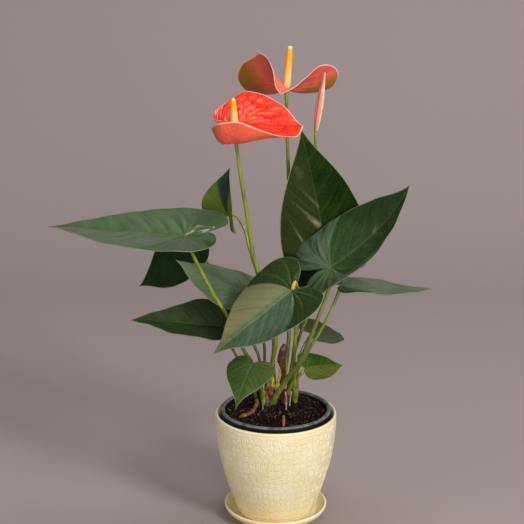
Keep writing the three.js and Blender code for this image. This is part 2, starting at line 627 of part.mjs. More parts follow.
for (const letter of ['a', 'b']) {
  const spathe = spatheSheet(SPATHES[`spathe_${letter}`], SPATHE_THICKNESS);
  add(`spathe_${letter}`, spathe, finish(CORAL, 0.3));
  const spadix = SPADICES[`spadix_${letter}`];
  const lift = vec(spadix.to).sub(vec(spadix.from)).setLength(2 * GAP).toArray();
  const standing = largest(toSolid(spindle(spadix)).subtract(toSolid(spathe)));
  add(`spadix_${letter}`, fromSolid(standing.translate(lift)), finish(SPADIX_YELLOW, 0.6));
  addStem(`stalk_${letter}`, STALKS[`stalk_${letter}`], spathe, stemFinish);
}
add('spathe_c', spindle(ROLLED_SPATHE, 10), finish(SALMON, 0.4));
addStem('stalk_c', STALKS.stalk_c, null, stemFinish);

for (const [name, part] of Object.entries(SMALL_PARTS)) {
  add(name, smallTube(part), finish(part.color, 0.6));
  dig(smallTube(part, GAP));
}
add('soil', fromSolid(largest(soil)), finish(PEAT, 0.95));

export default plant;
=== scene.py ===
"""A potted anthurium: the fine surfaces that stand for the CAD pieces, and its looks.

Every piece is a surface worked out as whole arrays of points, in metres.

Leaf blades: a flat heart outline (two Bezier arcs a side) is filled by a fan of rings that
shrink to the knee, where the petiole arrives. A flat point (a, b) is bent across the blade
as y = (sin(f + k|b|) - sin f) / k and z = (cos f - cos(f + k|b|)) / k, with fold f and cup
rate k, and then along the midrib on a circular arc. Side veins leave the midrib at a slant
and curl towards the tip; behind the knee they fan out around it. The blade is pillowed
between them. Open spathes: rays run from the knee to an edge curve, and sag by
4 t (1 - t) times a depth given along the edge; the same rays carry the quilting.
Stems, roots and sheaths: rings along a Catmull-Rom curve. Pots: a smooth profile turned
about the vertical axis. Peat: a polar grid with a mound, summed sine waves and loose bits.
"""

import math

import bpy
import numpy as np
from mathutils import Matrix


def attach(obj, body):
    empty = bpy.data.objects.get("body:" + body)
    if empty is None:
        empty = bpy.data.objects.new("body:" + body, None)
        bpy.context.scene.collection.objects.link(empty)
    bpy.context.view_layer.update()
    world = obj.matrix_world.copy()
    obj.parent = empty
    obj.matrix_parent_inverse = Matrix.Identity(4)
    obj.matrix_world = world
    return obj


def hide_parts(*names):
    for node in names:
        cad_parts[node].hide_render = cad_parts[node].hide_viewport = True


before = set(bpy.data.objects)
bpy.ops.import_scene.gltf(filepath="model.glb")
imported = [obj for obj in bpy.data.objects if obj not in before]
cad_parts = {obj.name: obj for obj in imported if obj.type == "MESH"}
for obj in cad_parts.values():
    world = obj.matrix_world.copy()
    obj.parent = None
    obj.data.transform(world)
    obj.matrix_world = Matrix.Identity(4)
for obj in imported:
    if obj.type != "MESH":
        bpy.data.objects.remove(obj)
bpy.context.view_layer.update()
MM = 0.001
rng = np.random.default_rng(7)

# ------------------------------------------------------------ camera and picture

CAMERA_PLACE = (0.0, -1.5, 0.7204)
CAMERA_PITCH = 15.42          # degrees down
CAMERA_TURN = 0.61            # degrees to the left
CAMERA_LENS = 95.0

# studio, in metres and watts: name, then place, size and power of each light
LIGHTS = {
    "key": ((1.7, -1.9, 1.8), 0.7, 62),
    "front": ((0.3, -2.6, 0.75), 1.2, 28),
    "side": ((-2.2, -1.2, 1.3), 1.6, 10),
    "top": ((0.3, 0.5, 2.6), 1.0, 22),
}
LIGHT_AIM = (0, 0, 0.28)
WORLD_LIGHT = 0.22
SWEEP_START = 0.9             # where the floor starts to rise behind the plant
SWEEP_RADIUS = 0.8
FLOOR_REACH = 4.0             # how far the floor goes to each side and to the front
WALL_HEIGHT = 3.5

# ------------------------------------------------------------ plant, in millimetres

BLADE_THICKNESS = 0.9
SPATHE_THICKNESS = 1.1
RIM_THINNING = 0.55           # share of a sheet's thickness that is lost at its edge
WIDEST = 0.08                 # where a blade is widest, as a share of its length
NOTCH = 14                    # degrees from the midrib's line to the inner edge of a lobe
TAPER = (0.74, 0.22)          # how a blade narrows, as shares of its length and half width
VEIN_SLANT = 50               # degrees between the midrib and a side vein
VEIN_SPREAD = 24              # degrees between two veins that fan out behind the knee
VEIN_BOW = 0.42               # how far a side vein curls towards the tip, in half widths
VEIN_SPACES = 6.5             # spaces between side veins along a midrib
VEIN_SPACING = (9.0, 21.0)    # least and greatest distance between side veins
VEIN_WIDTH = 0.75
FULL_HALF = 50                # half width of a blade whose relief has its full height
PILLOW_HEIGHT = 0.38
GROOVE_DEPTH = 0.25
MARK_HEIGHT = 0.8
LOBE_BLEND = (-3, 4)          # degrees over which the painted light and shade of the lobes sets in
RAYS = 15                     # blisters round each half of a spathe, and from knee to edge
CELLS = 4.6
BLISTER_HEIGHT = 1.7
BLISTER_TABLE = 64            # random places drawn for blisters in each direction
BLISTER_SIZE = 0.55           # squared reach of a blister, in cells
JITTER = (0.15, 0.7)          # least place of a cell's point in its cell, and its range
SPADIX_PITCH = 3.0            # height from one groove of a spiral set to the next
SPADIX_RELIEF = 0.075         # height of a flower as a share of the spadix's radius
BRACT_THICKNESS = 0.7
STEM_FOOT = 96                # where stems start inside the peat, and where they leave it
STEM_FREE = 138
STEM_SWELL = 0.22             # how much thicker a stem is at its knee and foot

# knee, tip, facing direction (degrees round from the front to the right, degrees up), width
# of the flat blade, reach of the lobes behind the knee, then angles in degrees: fold, cup
# of the left and right half, droop of the midrib and curl of the lobes. Where a leaf has no
# value of its own for the notches, taper, height of its edge waves, or height and reach of the
# swelling round its knee, it takes the usual one.
LEAF_FORM = dict(notch=(NOTCH, NOTCH), taper=TAPER, wave=1, swell=2.2, swell_reach=26)
LEAVES = {
    "leaf_1": dict(knee=(-99, -50, 349), tip=(-262, 34, 339), face=(0, 80), width=114,
                   lobe=(55, 45), fold=8, cup=(-4, 4), droop=2, curl=-22, notch=(-52, 30),
                   wave=0.4, swell=4, swell_reach=44),
    "leaf_2": dict(knee=(-55, 40, 352), tip=(-52, 0, 415), face=(-31, -3), width=60,
                   lobe=(28, 28), fold=24, cup=(-5, 28), droop=36, curl=100),
    "leaf_3": dict(knee=(-93, 73, 309), tip=(-167, 123, 241), face=(0, 40), width=92,
                   lobe=(25, 25), fold=5, cup=(30, -20), droop=8, curl=0),
    "leaf_4": dict(knee=(-38, 3, 270), tip=(-115, 22, 303), face=(-4, 72), width=82,
                   lobe=(20, 20), fold=-6, cup=(20, -5), droop=-4, curl=0),
    "leaf_5": dict(knee=(-61, -26, 238), tip=(-167, 6, 236), face=(0, 74), width=84,
                   lobe=(25, 25), fold=14, cup=(0, 0), droop=6, curl=0),
    "leaf_6": dict(knee=(17, -74, 295), tip=(-67, -98, 231), face=(-5, 64), width=116,
                   lobe=(30, 37), fold=5, cup=(22, -25), droop=0, curl=-8),
    "leaf_7": dict(knee=(57, 32, 312), tip=(28, 68, 446), face=(7, 11), width=106,
                   lobe=(48, 35), fold=14, cup=(0, 26), droop=30, curl=-20),
    "leaf_8": dict(knee=(61, -24, 308), tip=(140, -68, 410), face=(-26, 43), width=112,
                   lobe=(60, 64), fold=10, cup=(-30, 50), droop=-46, curl=-30,
                   notch=(22, -24), swell=0.9),
    "leaf_9": dict(knee=(74, -12, 283), tip=(182, 50, 260), face=(0, 80), width=76,
                   lobe=(20, 20), fold=0, cup=(-8, 22), droop=0, curl=-20),
    "leaf_10": dict(knee=(43, 56, 204), tip=(73, 92, 194), face=(14, 69), width=60,
                    lobe=(20, 20), fold=4, cup=(4, 4), droop=4, curl=0, taper=(1.0, 0.8)),
    "leaf_11": dict(knee=(36, 14, 175), tip=(80, 50, 166), face=(0, 45), width=44,
                    lobe=(9, 9), fold=0, cup=(-10, 34), droop=14, curl=0),
    "leaf_12": dict(knee=(-26, -46, 201), tip=(-44, -92, 165), face=(-12, 30), width=54,
                    lobe=(15, 18), fold=0, cup=(-12, -16), droop=46, curl=10,
                    taper=(0.70, 0.10)),
}

# Looks of the leaves. Colours: deep and light green, the veins, a painted sheen on one half, the
# painted light and shade of the lobes, and the marks. Numbers: the half with the painted sheen
# (+1 left, -1 right, 0 both), how strong the sheen is and where it starts, how strong the lobes'
# painted colour is, how patchy, and from which angle at the knee it sets in, brown at the tip,
# roughness, gloss and coat. The lobes' colour is painted shade where they turn from the light, a
# patchy painted sheen on leaf_8, and on leaf_2 a pale green that is partly its paler underside and
# partly painted light. The marks are what mark_mask takes: real veins and spots, and on leaf_7
# painted tan highlights in the creases. Where a leaf has no value of its own, it takes the usual
# one.
LEAF_COLOURS = ("deep", "light", "vein", "painted_sheen", "lobe", "mark")
LEAF_NUMBERS = ("side", "share", "sheen_from", "painted_lobe_share", "painted_lobe_patch", "tip", "rough")
LEAF_LOOK = dict(side=0, share=0.3, sheen_from=0.0, lobe=(0, 0, 0), painted_lobe_share=0.0,
                 painted_lobe_patch=0.0, painted_lobe_from=90, mark=(0, 0, 0), marks=(), gloss=0.25, coat=0.05,
                 coat_rough=0.22)
GREEN_VEIN = (0.10, 0.16, 0.03)
LEAF_LOOKS = {
    "leaf_1": dict(deep=(0.022, 0.074, 0.020), light=(0.066, 0.150, 0.050), vein=GREEN_VEIN,
                   painted_sheen=(0.075, 0.12, 0.060), side=-1, tip=0.9, rough=0.28, coat=0.7,
                   # lobe: painted shade on the lobes
                   coat_rough=0.1, lobe=(0.014, 0.045, 0.008), painted_lobe_share=0.6, painted_lobe_from=88,
                   mark=(0.26, 0.32, 0.04), marks=[((0, -3), (-4, -22), 1.2, 0.7, 0.0),
                                                   ((-4, -22), (-22, -24.6), 1.2, 0.7, 0.4)]),
    "leaf_2": dict(deep=(0.012, 0.022, 0.016), light=(0.028, 0.045, 0.032), vein=(0.05, 0.08, 0.02),
                   painted_sheen=(0.03, 0.06, 0.05), tip=0.0, rough=0.36,
                   # lobe: pale green, partly the curled lobe's paler underside and partly painted
                   # light
                   lobe=(0.13, 0.20, 0.022), painted_lobe_share=1.0, painted_lobe_from=11),
    "leaf_3": dict(deep=(0.004, 0.014, 0.003), light=(0.010, 0.030, 0.006),
                   vein=(0.02, 0.045, 0.01), painted_sheen=(0.015, 0.04, 0.012), tip=0.6, rough=0.5,
                   coat=0.0, gloss=0.06),
    "leaf_4": dict(deep=(0.045, 0.088, 0.038), light=(0.085, 0.135, 0.065), vein=(0.13, 0.18, 0.09),
                   painted_sheen=(0.12, 0.16, 0.09), tip=0.3, rough=0.48),
    "leaf_5": dict(deep=(0.010, 0.026, 0.006), light=(0.028, 0.052, 0.014), vein=(0.08, 0.12, 0.03),
                   painted_sheen=(0.06, 0.065, 0.03), side=-1, share=0.35, tip=0.7, rough=0.48, gloss=0.12),
    "leaf_6": dict(deep=(0.040, 0.088, 0.046), light=(0.095, 0.150, 0.095), vein=(0.20, 0.27, 0.08),
                   painted_sheen=(0.22, 0.205, 0.095), side=-1, share=0.9, tip=0.3, rough=0.36,
                   # lobe: painted shade on the lobes, which get none of the painted sheen
                   lobe=(0.008, 0.030, 0.004), painted_lobe_share=0.95, painted_lobe_from=73, gloss=0.13),
    "leaf_7": dict(deep=(0.004, 0.014, 0.001), light=(0.012, 0.030, 0.003), vein=(0.06, 0.09, 0.02),
                   painted_sheen=(0.035, 0.036, 0.010), side=1, tip=0.2, rough=0.55,
                   # lobe: painted shadow on the lobes
                   lobe=(0.002, 0.006, 0.002), painted_lobe_share=0.9, painted_lobe_from=100, gloss=0.06, coat=0.0,
                   # marks: painted tan highlights in the creases of the left half
                   mark=(0.30, 0.25, 0.14),
                   marks=[((31, 2), (66, 33), 1.8, 0.45, 0.8), ((31, 4), (44, 17), 2.8, 0.75, 0.8),
                          ((52, 0), (82, 22), 1.3, 0.35, 0.8), ((18, 27), (42, 37), 1.4, 0.40, 0.8),
                          ((92, 14), (99, 18), 5, 0.12, 0.3)]),
    "leaf_8": dict(deep=(0.012, 0.042, 0.010), light=(0.036, 0.080, 0.024), vein=(0.13, 0.19, 0.05),
                   painted_sheen=(0.13, 0.14, 0.095), side=-1, share=0.6, tip=0.2, rough=0.34,
                   # painted sheen along the right margin, and a patchy painted sheen on the lobes
                   sheen_from=0.50, lobe=(0.12, 0.165, 0.10), painted_lobe_share=0.8, painted_lobe_patch=0.8,
                   painted_lobe_from=76, gloss=0.18,
                   mark=(0.40, 0.24, 0.16), marks=[((65, 1), (71, 6), 2.2, 0.5, 0.6)]),
    "leaf_9": dict(deep=(0.045, 0.080, 0.035), light=(0.10, 0.135, 0.075), vein=(0.14, 0.18, 0.09),
                   painted_sheen=(0.13, 0.15, 0.10), side=1, tip=0.3, rough=0.48,
                   # lobe: painted shade on the lobes
                   lobe=(0.018, 0.050, 0.010), painted_lobe_share=0.8, painted_lobe_from=60),
    "leaf_10": dict(deep=(0.022, 0.036, 0.010), light=(0.045, 0.064, 0.024),
                    vein=(0.08, 0.10, 0.04), painted_sheen=(0.07, 0.075, 0.045), tip=0.0, rough=0.5,
                    gloss=0.12),
    "leaf_11": dict(deep=(0.014, 0.042, 0.004), light=(0.045, 0.088, 0.010),
                    vein=(0.14, 0.19, 0.03), painted_sheen=(0.15, 0.14, 0.015), side=-1, share=0.4,
                    tip=1.0, rough=0.40, gloss=0.15,
                    mark=(0.40, 0.20, 0.03), marks=[((-4, -15), (4, -15), 1.2, 0.4, 0.4)]),
    "leaf_12": dict(deep=(0.016, 0.042, 0.006), light=(0.045, 0.084, 0.016),
                    vein=(0.12, 0.165, 0.04), painted_sheen=(0.09, 0.15, 0.03), side=1, tip=0.3,
                    rough=0.38),
}

# foot on the peat, radius at foot and top, and the points on the way up.
PETIOLES = {
    "petiole_1": ((-15, 13), (2.4, 1.9), [
        (-27, -6, 187), (-37, -20, 210), (-55, -34, 255), (-67, -40, 277),
        (-86, -48, 318), (-99, -50, 348)]),
    "petiole_2": ((-1, 21), (2.2, 1.7), [
        (-3, 14, 185), (-3, 9, 217), (-9, 13, 252), (-21, 20, 286),
        (-31, 27, 317), (-36, 34, 335), (-45, 39, 350), (-54, 40, 352)]),
    "petiole_3": ((-17, 32), (2.0, 1.6), [
        (-19, 30, 177), (-25, 34, 195), (-39, 46, 217), (-62, 66, 252),
        (-82, 75, 288), (-93, 73, 308)]),
    "petiole_4": ((-11, 24), (2.0, 1.6), [
        (-13, 16, 184), (-14, 10, 207), (-23, 7, 239), (-33, 4, 261),
        (-38, 3, 269)]),
    "petiole_5": ((-23, 15), (2.0, 1.6), [
        (-34, 3, 177), (-42, -14, 195), (-49, -19, 210), (-57, -25, 230),
        (-61, -26, 237)]),
    "petiole_6": ((22, 12), (2.2, 1.8), [
        (21, -4, 189), (22, -26, 233), (24, -42, 268), (23, -57, 292),
        (21, -66, 302), (19, -72, 301), (17.6, -73.6, 296)]),
    "petiole_7": ((14, 28), (2.2, 1.8), [
        (20, 20, 185), (29, 14, 219), (39, 20, 242), (49, 33, 270),
        (54, 37, 292), (57, 35, 309.5)]),
    "petiole_8": ((-3, 1), (3.6, 1.8), [
        (12, -9, 169), (29, -24, 201), (44, -27, 241), (58.5, -23, 281),
        (63, -22.4, 307)]),
    "petiole_9": ((11, 5), (2.4, 1.7), [
        (24, -10, 180), (35, -19, 205), (58, -19, 247), (69, -13, 272),
        (74, -12, 282)]),
    "petiole_10": ((25, 35), (2.0, 1.6), [
        (26, 33, 172), (32, 44, 190), (41, 55, 201), (43, 56, 203)]),
    "petiole_11": ((23, 18), (2.0, 1.6), [
        (25, 12, 161), (30, 10, 171), (35.5, 15, 173.2)]),
    "petiole_12": ((-15, 5), (2.0, 1.6), [
        (-18, -7, 162), (-25, -33, 186), (-26, -46, 200)]),
}
STALKS = {
    "stalk_a": ((-8, 12), (2.8, 2.0), [
        (-4, 0, 188), (0, -12, 218), (-6, -15, 245), (-14, -19, 275),
        (-21, -24, 306), (-26, -27, 325), (-31, -33, 363), (-37, -38, 403),
        (-43, -42, 448), (-45, -42, 469)]),
    "stalk_b": ((7, 28), (2.6, 1.9), [
        (11, 25, 169), (15, 28, 211), (15, 42, 273), (15, 54, 330),
        (14, 60, 388), (12, 60, 446), (11, 60, 492)]),
    "stalk_c": ((17, 36), (2.2, 1.6), [
        (21, 34, 190), (30, 48, 247), (38, 62, 316), (44, 70, 386),
        (45, 72, 424), (45, 72, 443)]),
}

# Painted shade: how far each stem is darkened from bright to dark olive where leaves shade it,
# at the foot and at the top.
STEM_SHADE = {
    "petiole_1": (0.75, 0.0), "petiole_2": (0.55, 0.1), "petiole_3": (0.75, 0.5),
    "petiole_4": (0.7, 0.6), "petiole_5": (0.7, 0.6), "petiole_6": (0.1, 0.1),
    "petiole_7": (0.2, 0.5), "petiole_8": (0.35, 0.55), "petiole_9": (0.25, 0.35),
    "petiole_10": (0.4, 0.5), "petiole_12": (0.5, 0.5), "stalk_a": (0.35, 0.05),
    "stalk_b": (0.3, 0.45), "stalk_c": (0.3, 0.5),
}
KNEE_GOLD = {"petiole_6": 0.9}

# Edges of the open spathes from the notch to the tip: x, y, z and the sag of the surface.
# The outside is washed with olive where side * x + up * z, from the knee, passes low to
# high: four numbers for the side with negative x, and four for the other. Swell is the
# share of the blisters' height on the left and on the right half, and deep how far the inside
# darkens towards the notch with painted shade.
SPATHES = {
    "spathe_a": dict(
        knee=(-45, -42, 471), tip=(28, -66, 472), hang=(0, -0.35, -0.94),
        wash=((-1, -0.4, 8, 26), (0, 0, 1, 2)),
        left=[(-56, -32, 472, 2), (-68, -24, 473, 6), (-67, -12, 479, 8), (-60, -2, 484, 8),
              (-44, 4, 494, 6), (-33, 2, 499, 5), (-17, -8, 498, 4), (-3, -20, 493, 3),
              (9, -36, 488, 2), (21, -55, 477, 1)],
        right=[(-58, -52, 468, 8), (-68, -63, 468.5, 17), (-62, -81, 477.5, 22),
               (-40, -93, 481.5, 22), (-27, -94, 477.5, 20), (-15, -92, 472, 15),
               (-2, -88, 467.5, 10), (11, -82, 464, 5), (22, -74, 463.5, 2)],
        swell=(1.0, 0.35), deep=0.8),
    "spathe_b": dict(
        knee=(11, 60, 494), tip=(4, -4, 497), hang=(0, 0.2, -1),
        wash=((-1, -0.6, 12, 36), (0.45, -1, 4, 20)),
        left=[(16, 76, 490, 1), (23, 90, 486, 2), (39, 98, 484, 3), (55, 100, 486, 4),
              (66, 95, 493, 5), (71, 88, 504.5, 6), (69, 82, 512, 7), (64, 76, 517, 8),
              (57, 67, 520, 8), (49, 58, 519.5, 8), (42, 49, 516, 6), (35, 39, 511.5, 5),
              (28, 29, 506.5, 4), (21, 16, 502, 2)],
        right=[(5, 76, 489, 1), (0, 88, 486, 2), (-15, 96, 482, 3), (-33, 98, 485, 4),
               (-42, 92, 495, 5), (-45, 84, 506, 6), (-39, 74, 520, 7), (-27, 62, 529, 8),
               (-19, 48, 535, 8), (-10, 34, 531, 7), (-5, 22, 520, 5), (-1, 6, 504, 2)],
        swell=(0.5, 0.5), deep=0),
}
# In both spathes, Shade is painted shade in the creases between the blisters, and the vein colour
# also paints a highlight on the blisters' tops.
RED_SPATHE = {"Inside": (0.92, 0.030, 0.008), "Shade": (0.60, 0.008, 0.004),
              "Outside": (0.92, 0.095, 0.045), "Vein_and_Highlight": (0.96, 0.22, 0.12),
              "Edge": (0.26, 0.14, 0.010), "Rim": (0.93, 0.46, 0.33)}
BROWN_SPATHE = {"Inside": (0.88, 0.16, 0.11), "Shade": (0.70, 0.10, 0.07),
                "Outside": (0.72, 0.082, 0.045), "Vein_and_Highlight": (0.84, 0.20, 0.12),
                "Edge": (0.30, 0.13, 0.004), "Rim": (0.92, 0.50, 0.40)}
SPADICES = {
    "spadix_a": ((-45, -42, 471), (-46, -42, 498), (4.1, 3.9, 3.4, 2.9, 2.0)),
    "spadix_b": ((11, 60, 494), (15, 57, 542), (4.1, 4.0, 3.7, 3.3, 2.4)),
}
ROLLED_SPATHE = ((45, 72, 443.5), (54, 52, 513), (2.2, 3.9, 4.3, 3.9, 2.5, 0.9))
ROLL_EDGE = 0.8               # where the outer edge of the rolled spathe starts, in radians

# Stub, sheaths and roots: the points on their way, their radii, and colour and roughness.
SMALL_PARTS = {
    "crown_stub": dict(via=[(-9.5, 3, 120), (-9.5, 3, 138), (-9.5, 3, 152), (-9, 3, 165)],
                       radii=(2.3, 2.3, 2.5, 2.0, 2.2, 1.2), look="bark", knobs=0.35),
    "sheath_brown": dict(via=[(6, 12, 118), (6, 12, 138), (8, 12, 166), (6.5, 12, 184),
                              (9.5, 12, 205)],
                         radii=(1.9, 2.1, 2.6, 3.4, 4.2, 4.6, 4.2), look="dry", knobs=0.14),
    "sheath_yellow": dict(via=[(-2, 9, 122), (-2, 9, 140), (0, 8, 153), (3, 8, 162),
                               (5, 8, 173), (1, 8, 185)],
                          radii=(1.2, 1.4, 1.8, 1.8, 1.2, 0.6), look="yellow", knobs=0.05),
    "root_brown": dict(via=[(-22, 9, 128), (-22, 7, 138), (-22, 0, 136), (-27, -11, 131),
                            (-33, -17, 130), (-42, -22, 128.5)],
                       radii=(2.3, 2.4, 2.2, 2.1), look="root", knobs=0.18),
    "root_pink": dict(via=[(9, -19, 124), (9, -21, 129), (9, -30, 129.5), (9, -38, 127.5),
                           (9, -44, 123)],
                      radii=(1.5, 1.8, 1.7, 1.2), look="pink", knobs=0.1),
    "root_left": dict(via=[(-15, -1, 124), (-15, -1, 137), (-15, -5, 135), (-15, -9, 126)],
                      radii=(0.9, 0.9), look="olive", knobs=0.1),
    "root_middle": dict(via=[(12, -8, 122), (12, -8, 134), (12, -7, 144), (11, -6, 154)],
                        radii=(0.9, 0.8), look="pale", knobs=0.1),
    "root_right": dict(via=[(16, 0, 122), (16, 0, 135), (17, 2, 144), (18, 4, 151)],
                       radii=(0.9, 0.8), look="pale", knobs=0.1),
}
# Pointed sheaths round the stems' feet: foot, height, radius, the way they face and half
# their span in degrees, the lean of the point, and their look.
BRACTS = {
    "bract_front": ((-6, 11.5, 133), 39, 3.7, -110, 95, (3, -3), "yellow"),
    "bract_low": ((-5, 6.5, 132), 26, 4.6, -80, 105, (-2, -2), "dry"),
    "bract_left": ((-14, 5.5, 129), 25, 2.7, -80, 110, (-1, -2), "green"),
    "bract_right": ((22, 12.5, 128), 32, 3.0, -60, 120, (1, -4), "green"),
    "bract_back": ((11, 5, 131), 24, 3.6, -100, 90, (2, -3), "dry"),
}
# Dark and light colour of a small part, its roughness and its slot.
SMALL_LOOKS = {
    "bark": ((0.10, 0.035, 0.015), (0.26, 0.13, 0.07), 0.8, "bark"),
    "dry": ((0.045, 0.012, 0.005), (0.21, 0.070, 0.024), 0.6, "bark"),
    "green": ((0.085, 0.105, 0.010), (0.23, 0.25, 0.030), 0.5, "sheath"),
    "yellow": ((0.42, 0.38, 0.02), (0.72, 0.62, 0.10), 0.45, "sheath"),
    "root": ((0.07, 0.020, 0.007), (0.28, 0.10, 0.034), 0.6, "bark"),
    "pink": ((0.25, 0.06, 0.05), (0.48, 0.16, 0.13), 0.5, "root_pink"),
    "olive": ((0.08, 0.085, 0.04), (0.19, 0.18, 0.09), 0.5, "root_pale"),
    "pale": ((0.18, 0.135, 0.08), (0.42, 0.35, 0.24), 0.5, "root_pale"),
}

# Colours of the finishes that have one look only.
LEAF_MARGIN = (0.22, 0.27, 0.10)
LEAF_TIP = (0.14, 0.06, 0.02)
LEAF_UNDERSIDE = (0.17, 0.21, 0.05)
# painted shade inside the spathe, towards the notch
SPATHE_NOTCH_SHADE = (0.25, 0.006, 0.006)
# the last colour is painted shade in the grooves between the flowers
SPADIX_COLOURS = dict(foot=(0.92, 0.68, 0.30), middle=(0.90, 0.47, 0.02),
                      high=(0.93, 0.46, 0.002), top=(0.95, 0.84, 0.40), groove_shade=(0.55, 0.28, 0.03))
# shaded: the dark olive of the painted shade
STEM_COLOURS = dict(dark=(0.075, 0.105, 0.006), light=(0.30, 0.345, 0.028),
                    rust=(0.16, 0.085, 0.022), shaded=(0.045, 0.060, 0.012),
                    gold=(0.78, 0.47, 0.03), knee=(0.30, 0.30, 0.05))
BUD_COLOURS = dict(foot=(0.36, 0.34, 0.07), skin=(0.93, 0.31, 0.23), pale=(0.95, 0.46, 0.35),
                   edge=(0.93, 0.70, 0.48), shade=(0.42, 0.06, 0.04))
# the warm colour is a painted reflection of the saucer near the foot, and the hollow colour painted
# shade in the strokes' hollows
GLAZE_COLOURS = dict(cream=(0.85, 0.745, 0.44), pale=(0.90, 0.83, 0.57),
                     saucer_reflection=(0.86, 0.62, 0.27), hollow_shade=(0.52, 0.43, 0.23))
# grey of the rim's top: partly dust and partly painted light
PLASTIC_BLACK, PLASTIC_DUST_AND_LIGHT = (0.005, 0.005, 0.005), (0.19, 0.195, 0.19)
PEAT_COLOURS = dict(dark=(0.002, 0.001, 0.0008), light=(0.026, 0.009, 0.005),
                    speck=(0.16, 0.09, 0.05))
FIBRE_COLOURS = ((0.08, 0.045, 0.022), (0.26, 0.19, 0.12))
FLOOR_COLOUR, SKY_COLOUR = (0.32, 0.262, 0.255), (1.0, 0.95, 0.93)

# ------------------------------------------------------------ pots and peat, in millimetres

RIM_RADIUS = 70
POT_ROWS = 150                # rings and sides of the outside, which carries the strokes
POT_SIDES = 560
DRAIN_RADIUS = 6              # hole in the middle of the cover pot's base
POT_BASE, POT_FLOOR = 5.0, 10.0       # heights of the base's underside and upper side
STROKE_CELL = 8               # size of a patch of strokes that run one way
STROKE_PITCH = 2.5
STROKE_DEPTH = 0.6
STROKE_BAND = (9, 13, 120.5, 122.5)   # heights where the strokes set in and end
POT_INSIDE = [(67.4, 127), (66.5, 126), (65.0, 109), (62.6, 88), (59.5, 71), (53.5, 48),
              (47, 28), (42, 14), (38, 10.2)]
POT_OUTSIDE = [(40, 5), (43.2, 5.6), (45.0, 8), (45.6, 10), (51.6, 28), (58, 48), (64, 71),
               (67.1, 88), (69.4, 109), (69.5, 122.9), (70, 123.8), (70, 125.8), (69.4, 126.8),
               (68.6, 127)]
SAUCER_PROFILE = [(0, 0), (46, 0), (47.5, 0.3), (52, 3), (57.8, 8), (59.9, 12.2), (59.8, 13.6),
                  (58.6, 14), (57.6, 13.6), (56.6, 12), (53, 8), (49, 4.9), (47, 4.7),
                  (0, 4.7)]
GROW_PROFILE = [(0, 10.3), (39, 10.3), (40, 11), (48.4, 60), (59.2, 122.6), (63.4, 122.9),
                (63.9, 124), (64, 130), (63.3, 131.6), (61.8, 132), (60.2, 131.9),
                (59.2, 131.1), (58.9, 129), (47, 60), (38.6, 12.2), (0, 11.9)]
SOIL_EDGE = 126               # height of the peat at the wall
SOIL_RADIUS = 58.4
SOIL_UNDERSIDE = 100          # where the dressed top of the peat ends, hidden in the pot
MOUND_HEIGHT = 12
MOUND_SPREAD = 24
MOUND_CENTRE = (2, 16)
SOIL_TWIST = 2                # how far the peat rises and falls crosswise, at 64 by 64
# Waves of the peat's small lumps along x and y, in radians a millimetre.
LUMPS = ((0.9, 0.3), (-0.5, 1.1), (1.3, -1.0), (2.1, 1.6), (-1.8, 2.3))
# Loose bits: how many, size of the biggest, and dark and light colour.
PEAT_BITS = {
    "peat_crumbs": (900, 1.5, (0.005, 0.0025, 0.0015), (0.042, 0.017, 0.009)),
    "bark_chips": (110, 2.1, (0.03, 0.010, 0.005), (0.15, 0.062, 0.030)),
}
FIBRE_COUNT = 26
FIBRE_RADIUS = 0.28


# ------------------------------------------------------------ meshes from arrays

def add_object(name, data):
    """An object at the origin, in the scene."""
    made = bpy.data.objects.new(name, data)
    bpy.context.scene.collection.objects.link(made)
    return made


def make_piece(name, points, faces, material, replaces=(), floats=None, vectors=None):
    """One smooth mesh from points in millimetres and triangles, with its attributes."""
    points = np.asarray(points, np.float32).reshape(-1, 3) * MM
    faces = np.asarray(faces, np.int32).reshape(-1, 3)
    mesh = bpy.data.meshes.new(name)
    mesh.vertices.add(len(points))
    mesh.vertices.foreach_set("co", points.ravel())
    mesh.loops.add(faces.size)
    mesh.loops.foreach_set("vertex_index", faces.ravel())
    mesh.polygons.add(len(faces))
    mesh.polygons.foreach_set("loop_start", np.arange(len(faces), dtype=np.int32) * 3)
    mesh.polygons.foreach_set("use_smooth", np.ones(len(faces), bool))
    mesh.update(calc_edges=True)
    for key, values in (floats or {}).items():
        layer = mesh.attributes.new(key, "FLOAT", "POINT")
        layer.data.foreach_set("value", np.asarray(values, np.float32).ravel())
    for key, values in (vectors or {}).items():
        layer = mesh.attributes.new(key, "FLOAT_VECTOR", "POINT")
        layer.data.foreach_set("vector", np.asarray(values, np.float32).ravel())
    mesh.materials.append(material)
    piece = add_object(name, mesh)
    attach(piece, "root")
    if replaces:
        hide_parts(*replaces)
    return piece


def unit(v):
    """Each vector divided by its length."""
    return v / np.maximum(np.linalg.norm(v, axis=-1, keepdims=True), 1e-12)


def smooth_step(value, low, high):
    """0 up to low, 1 from high on, and 3 t^2 - 2 t^3 between; it falls where low is above
    high."""
    t = np.clip((value - low) / (high - low), 0, 1)
    return t * t * (3 - 2 * t)


def bell(distance, width):
    """1 at no distance, falling as exp(-(distance / width)^2)."""
    return np.exp(-(distance / width)**2)


def circle(sides):
    """The angles of the points round a closed ring."""
    return np.linspace(0, 2 * np.pi, sides, endpoint=False)


def split(a, b, c, d):
    """Two triangles for each four-sided face a, b, c, d."""
    return np.vstack([np.stack([a, b, c], 1), np.stack([a, c, d], 1)])


def ring_faces(index):
    """Two triangles between each pair of neighbours on one closed ring of points and the same
    pair on the next. Gives the faces, and each point's neighbour on its own ring."""
    following = np.roll(index, -1, axis=1)
    faces = split(index[:-1].ravel(), following[:-1].ravel(), following[1:].ravel(),
                  index[1:].ravel())
    return faces, following


def cap(centre, a, b):
    """Triangles from one centre point to each pair a, b of neighbours on a ring."""
    return np.stack([0 * a + centre, a, b], 1)


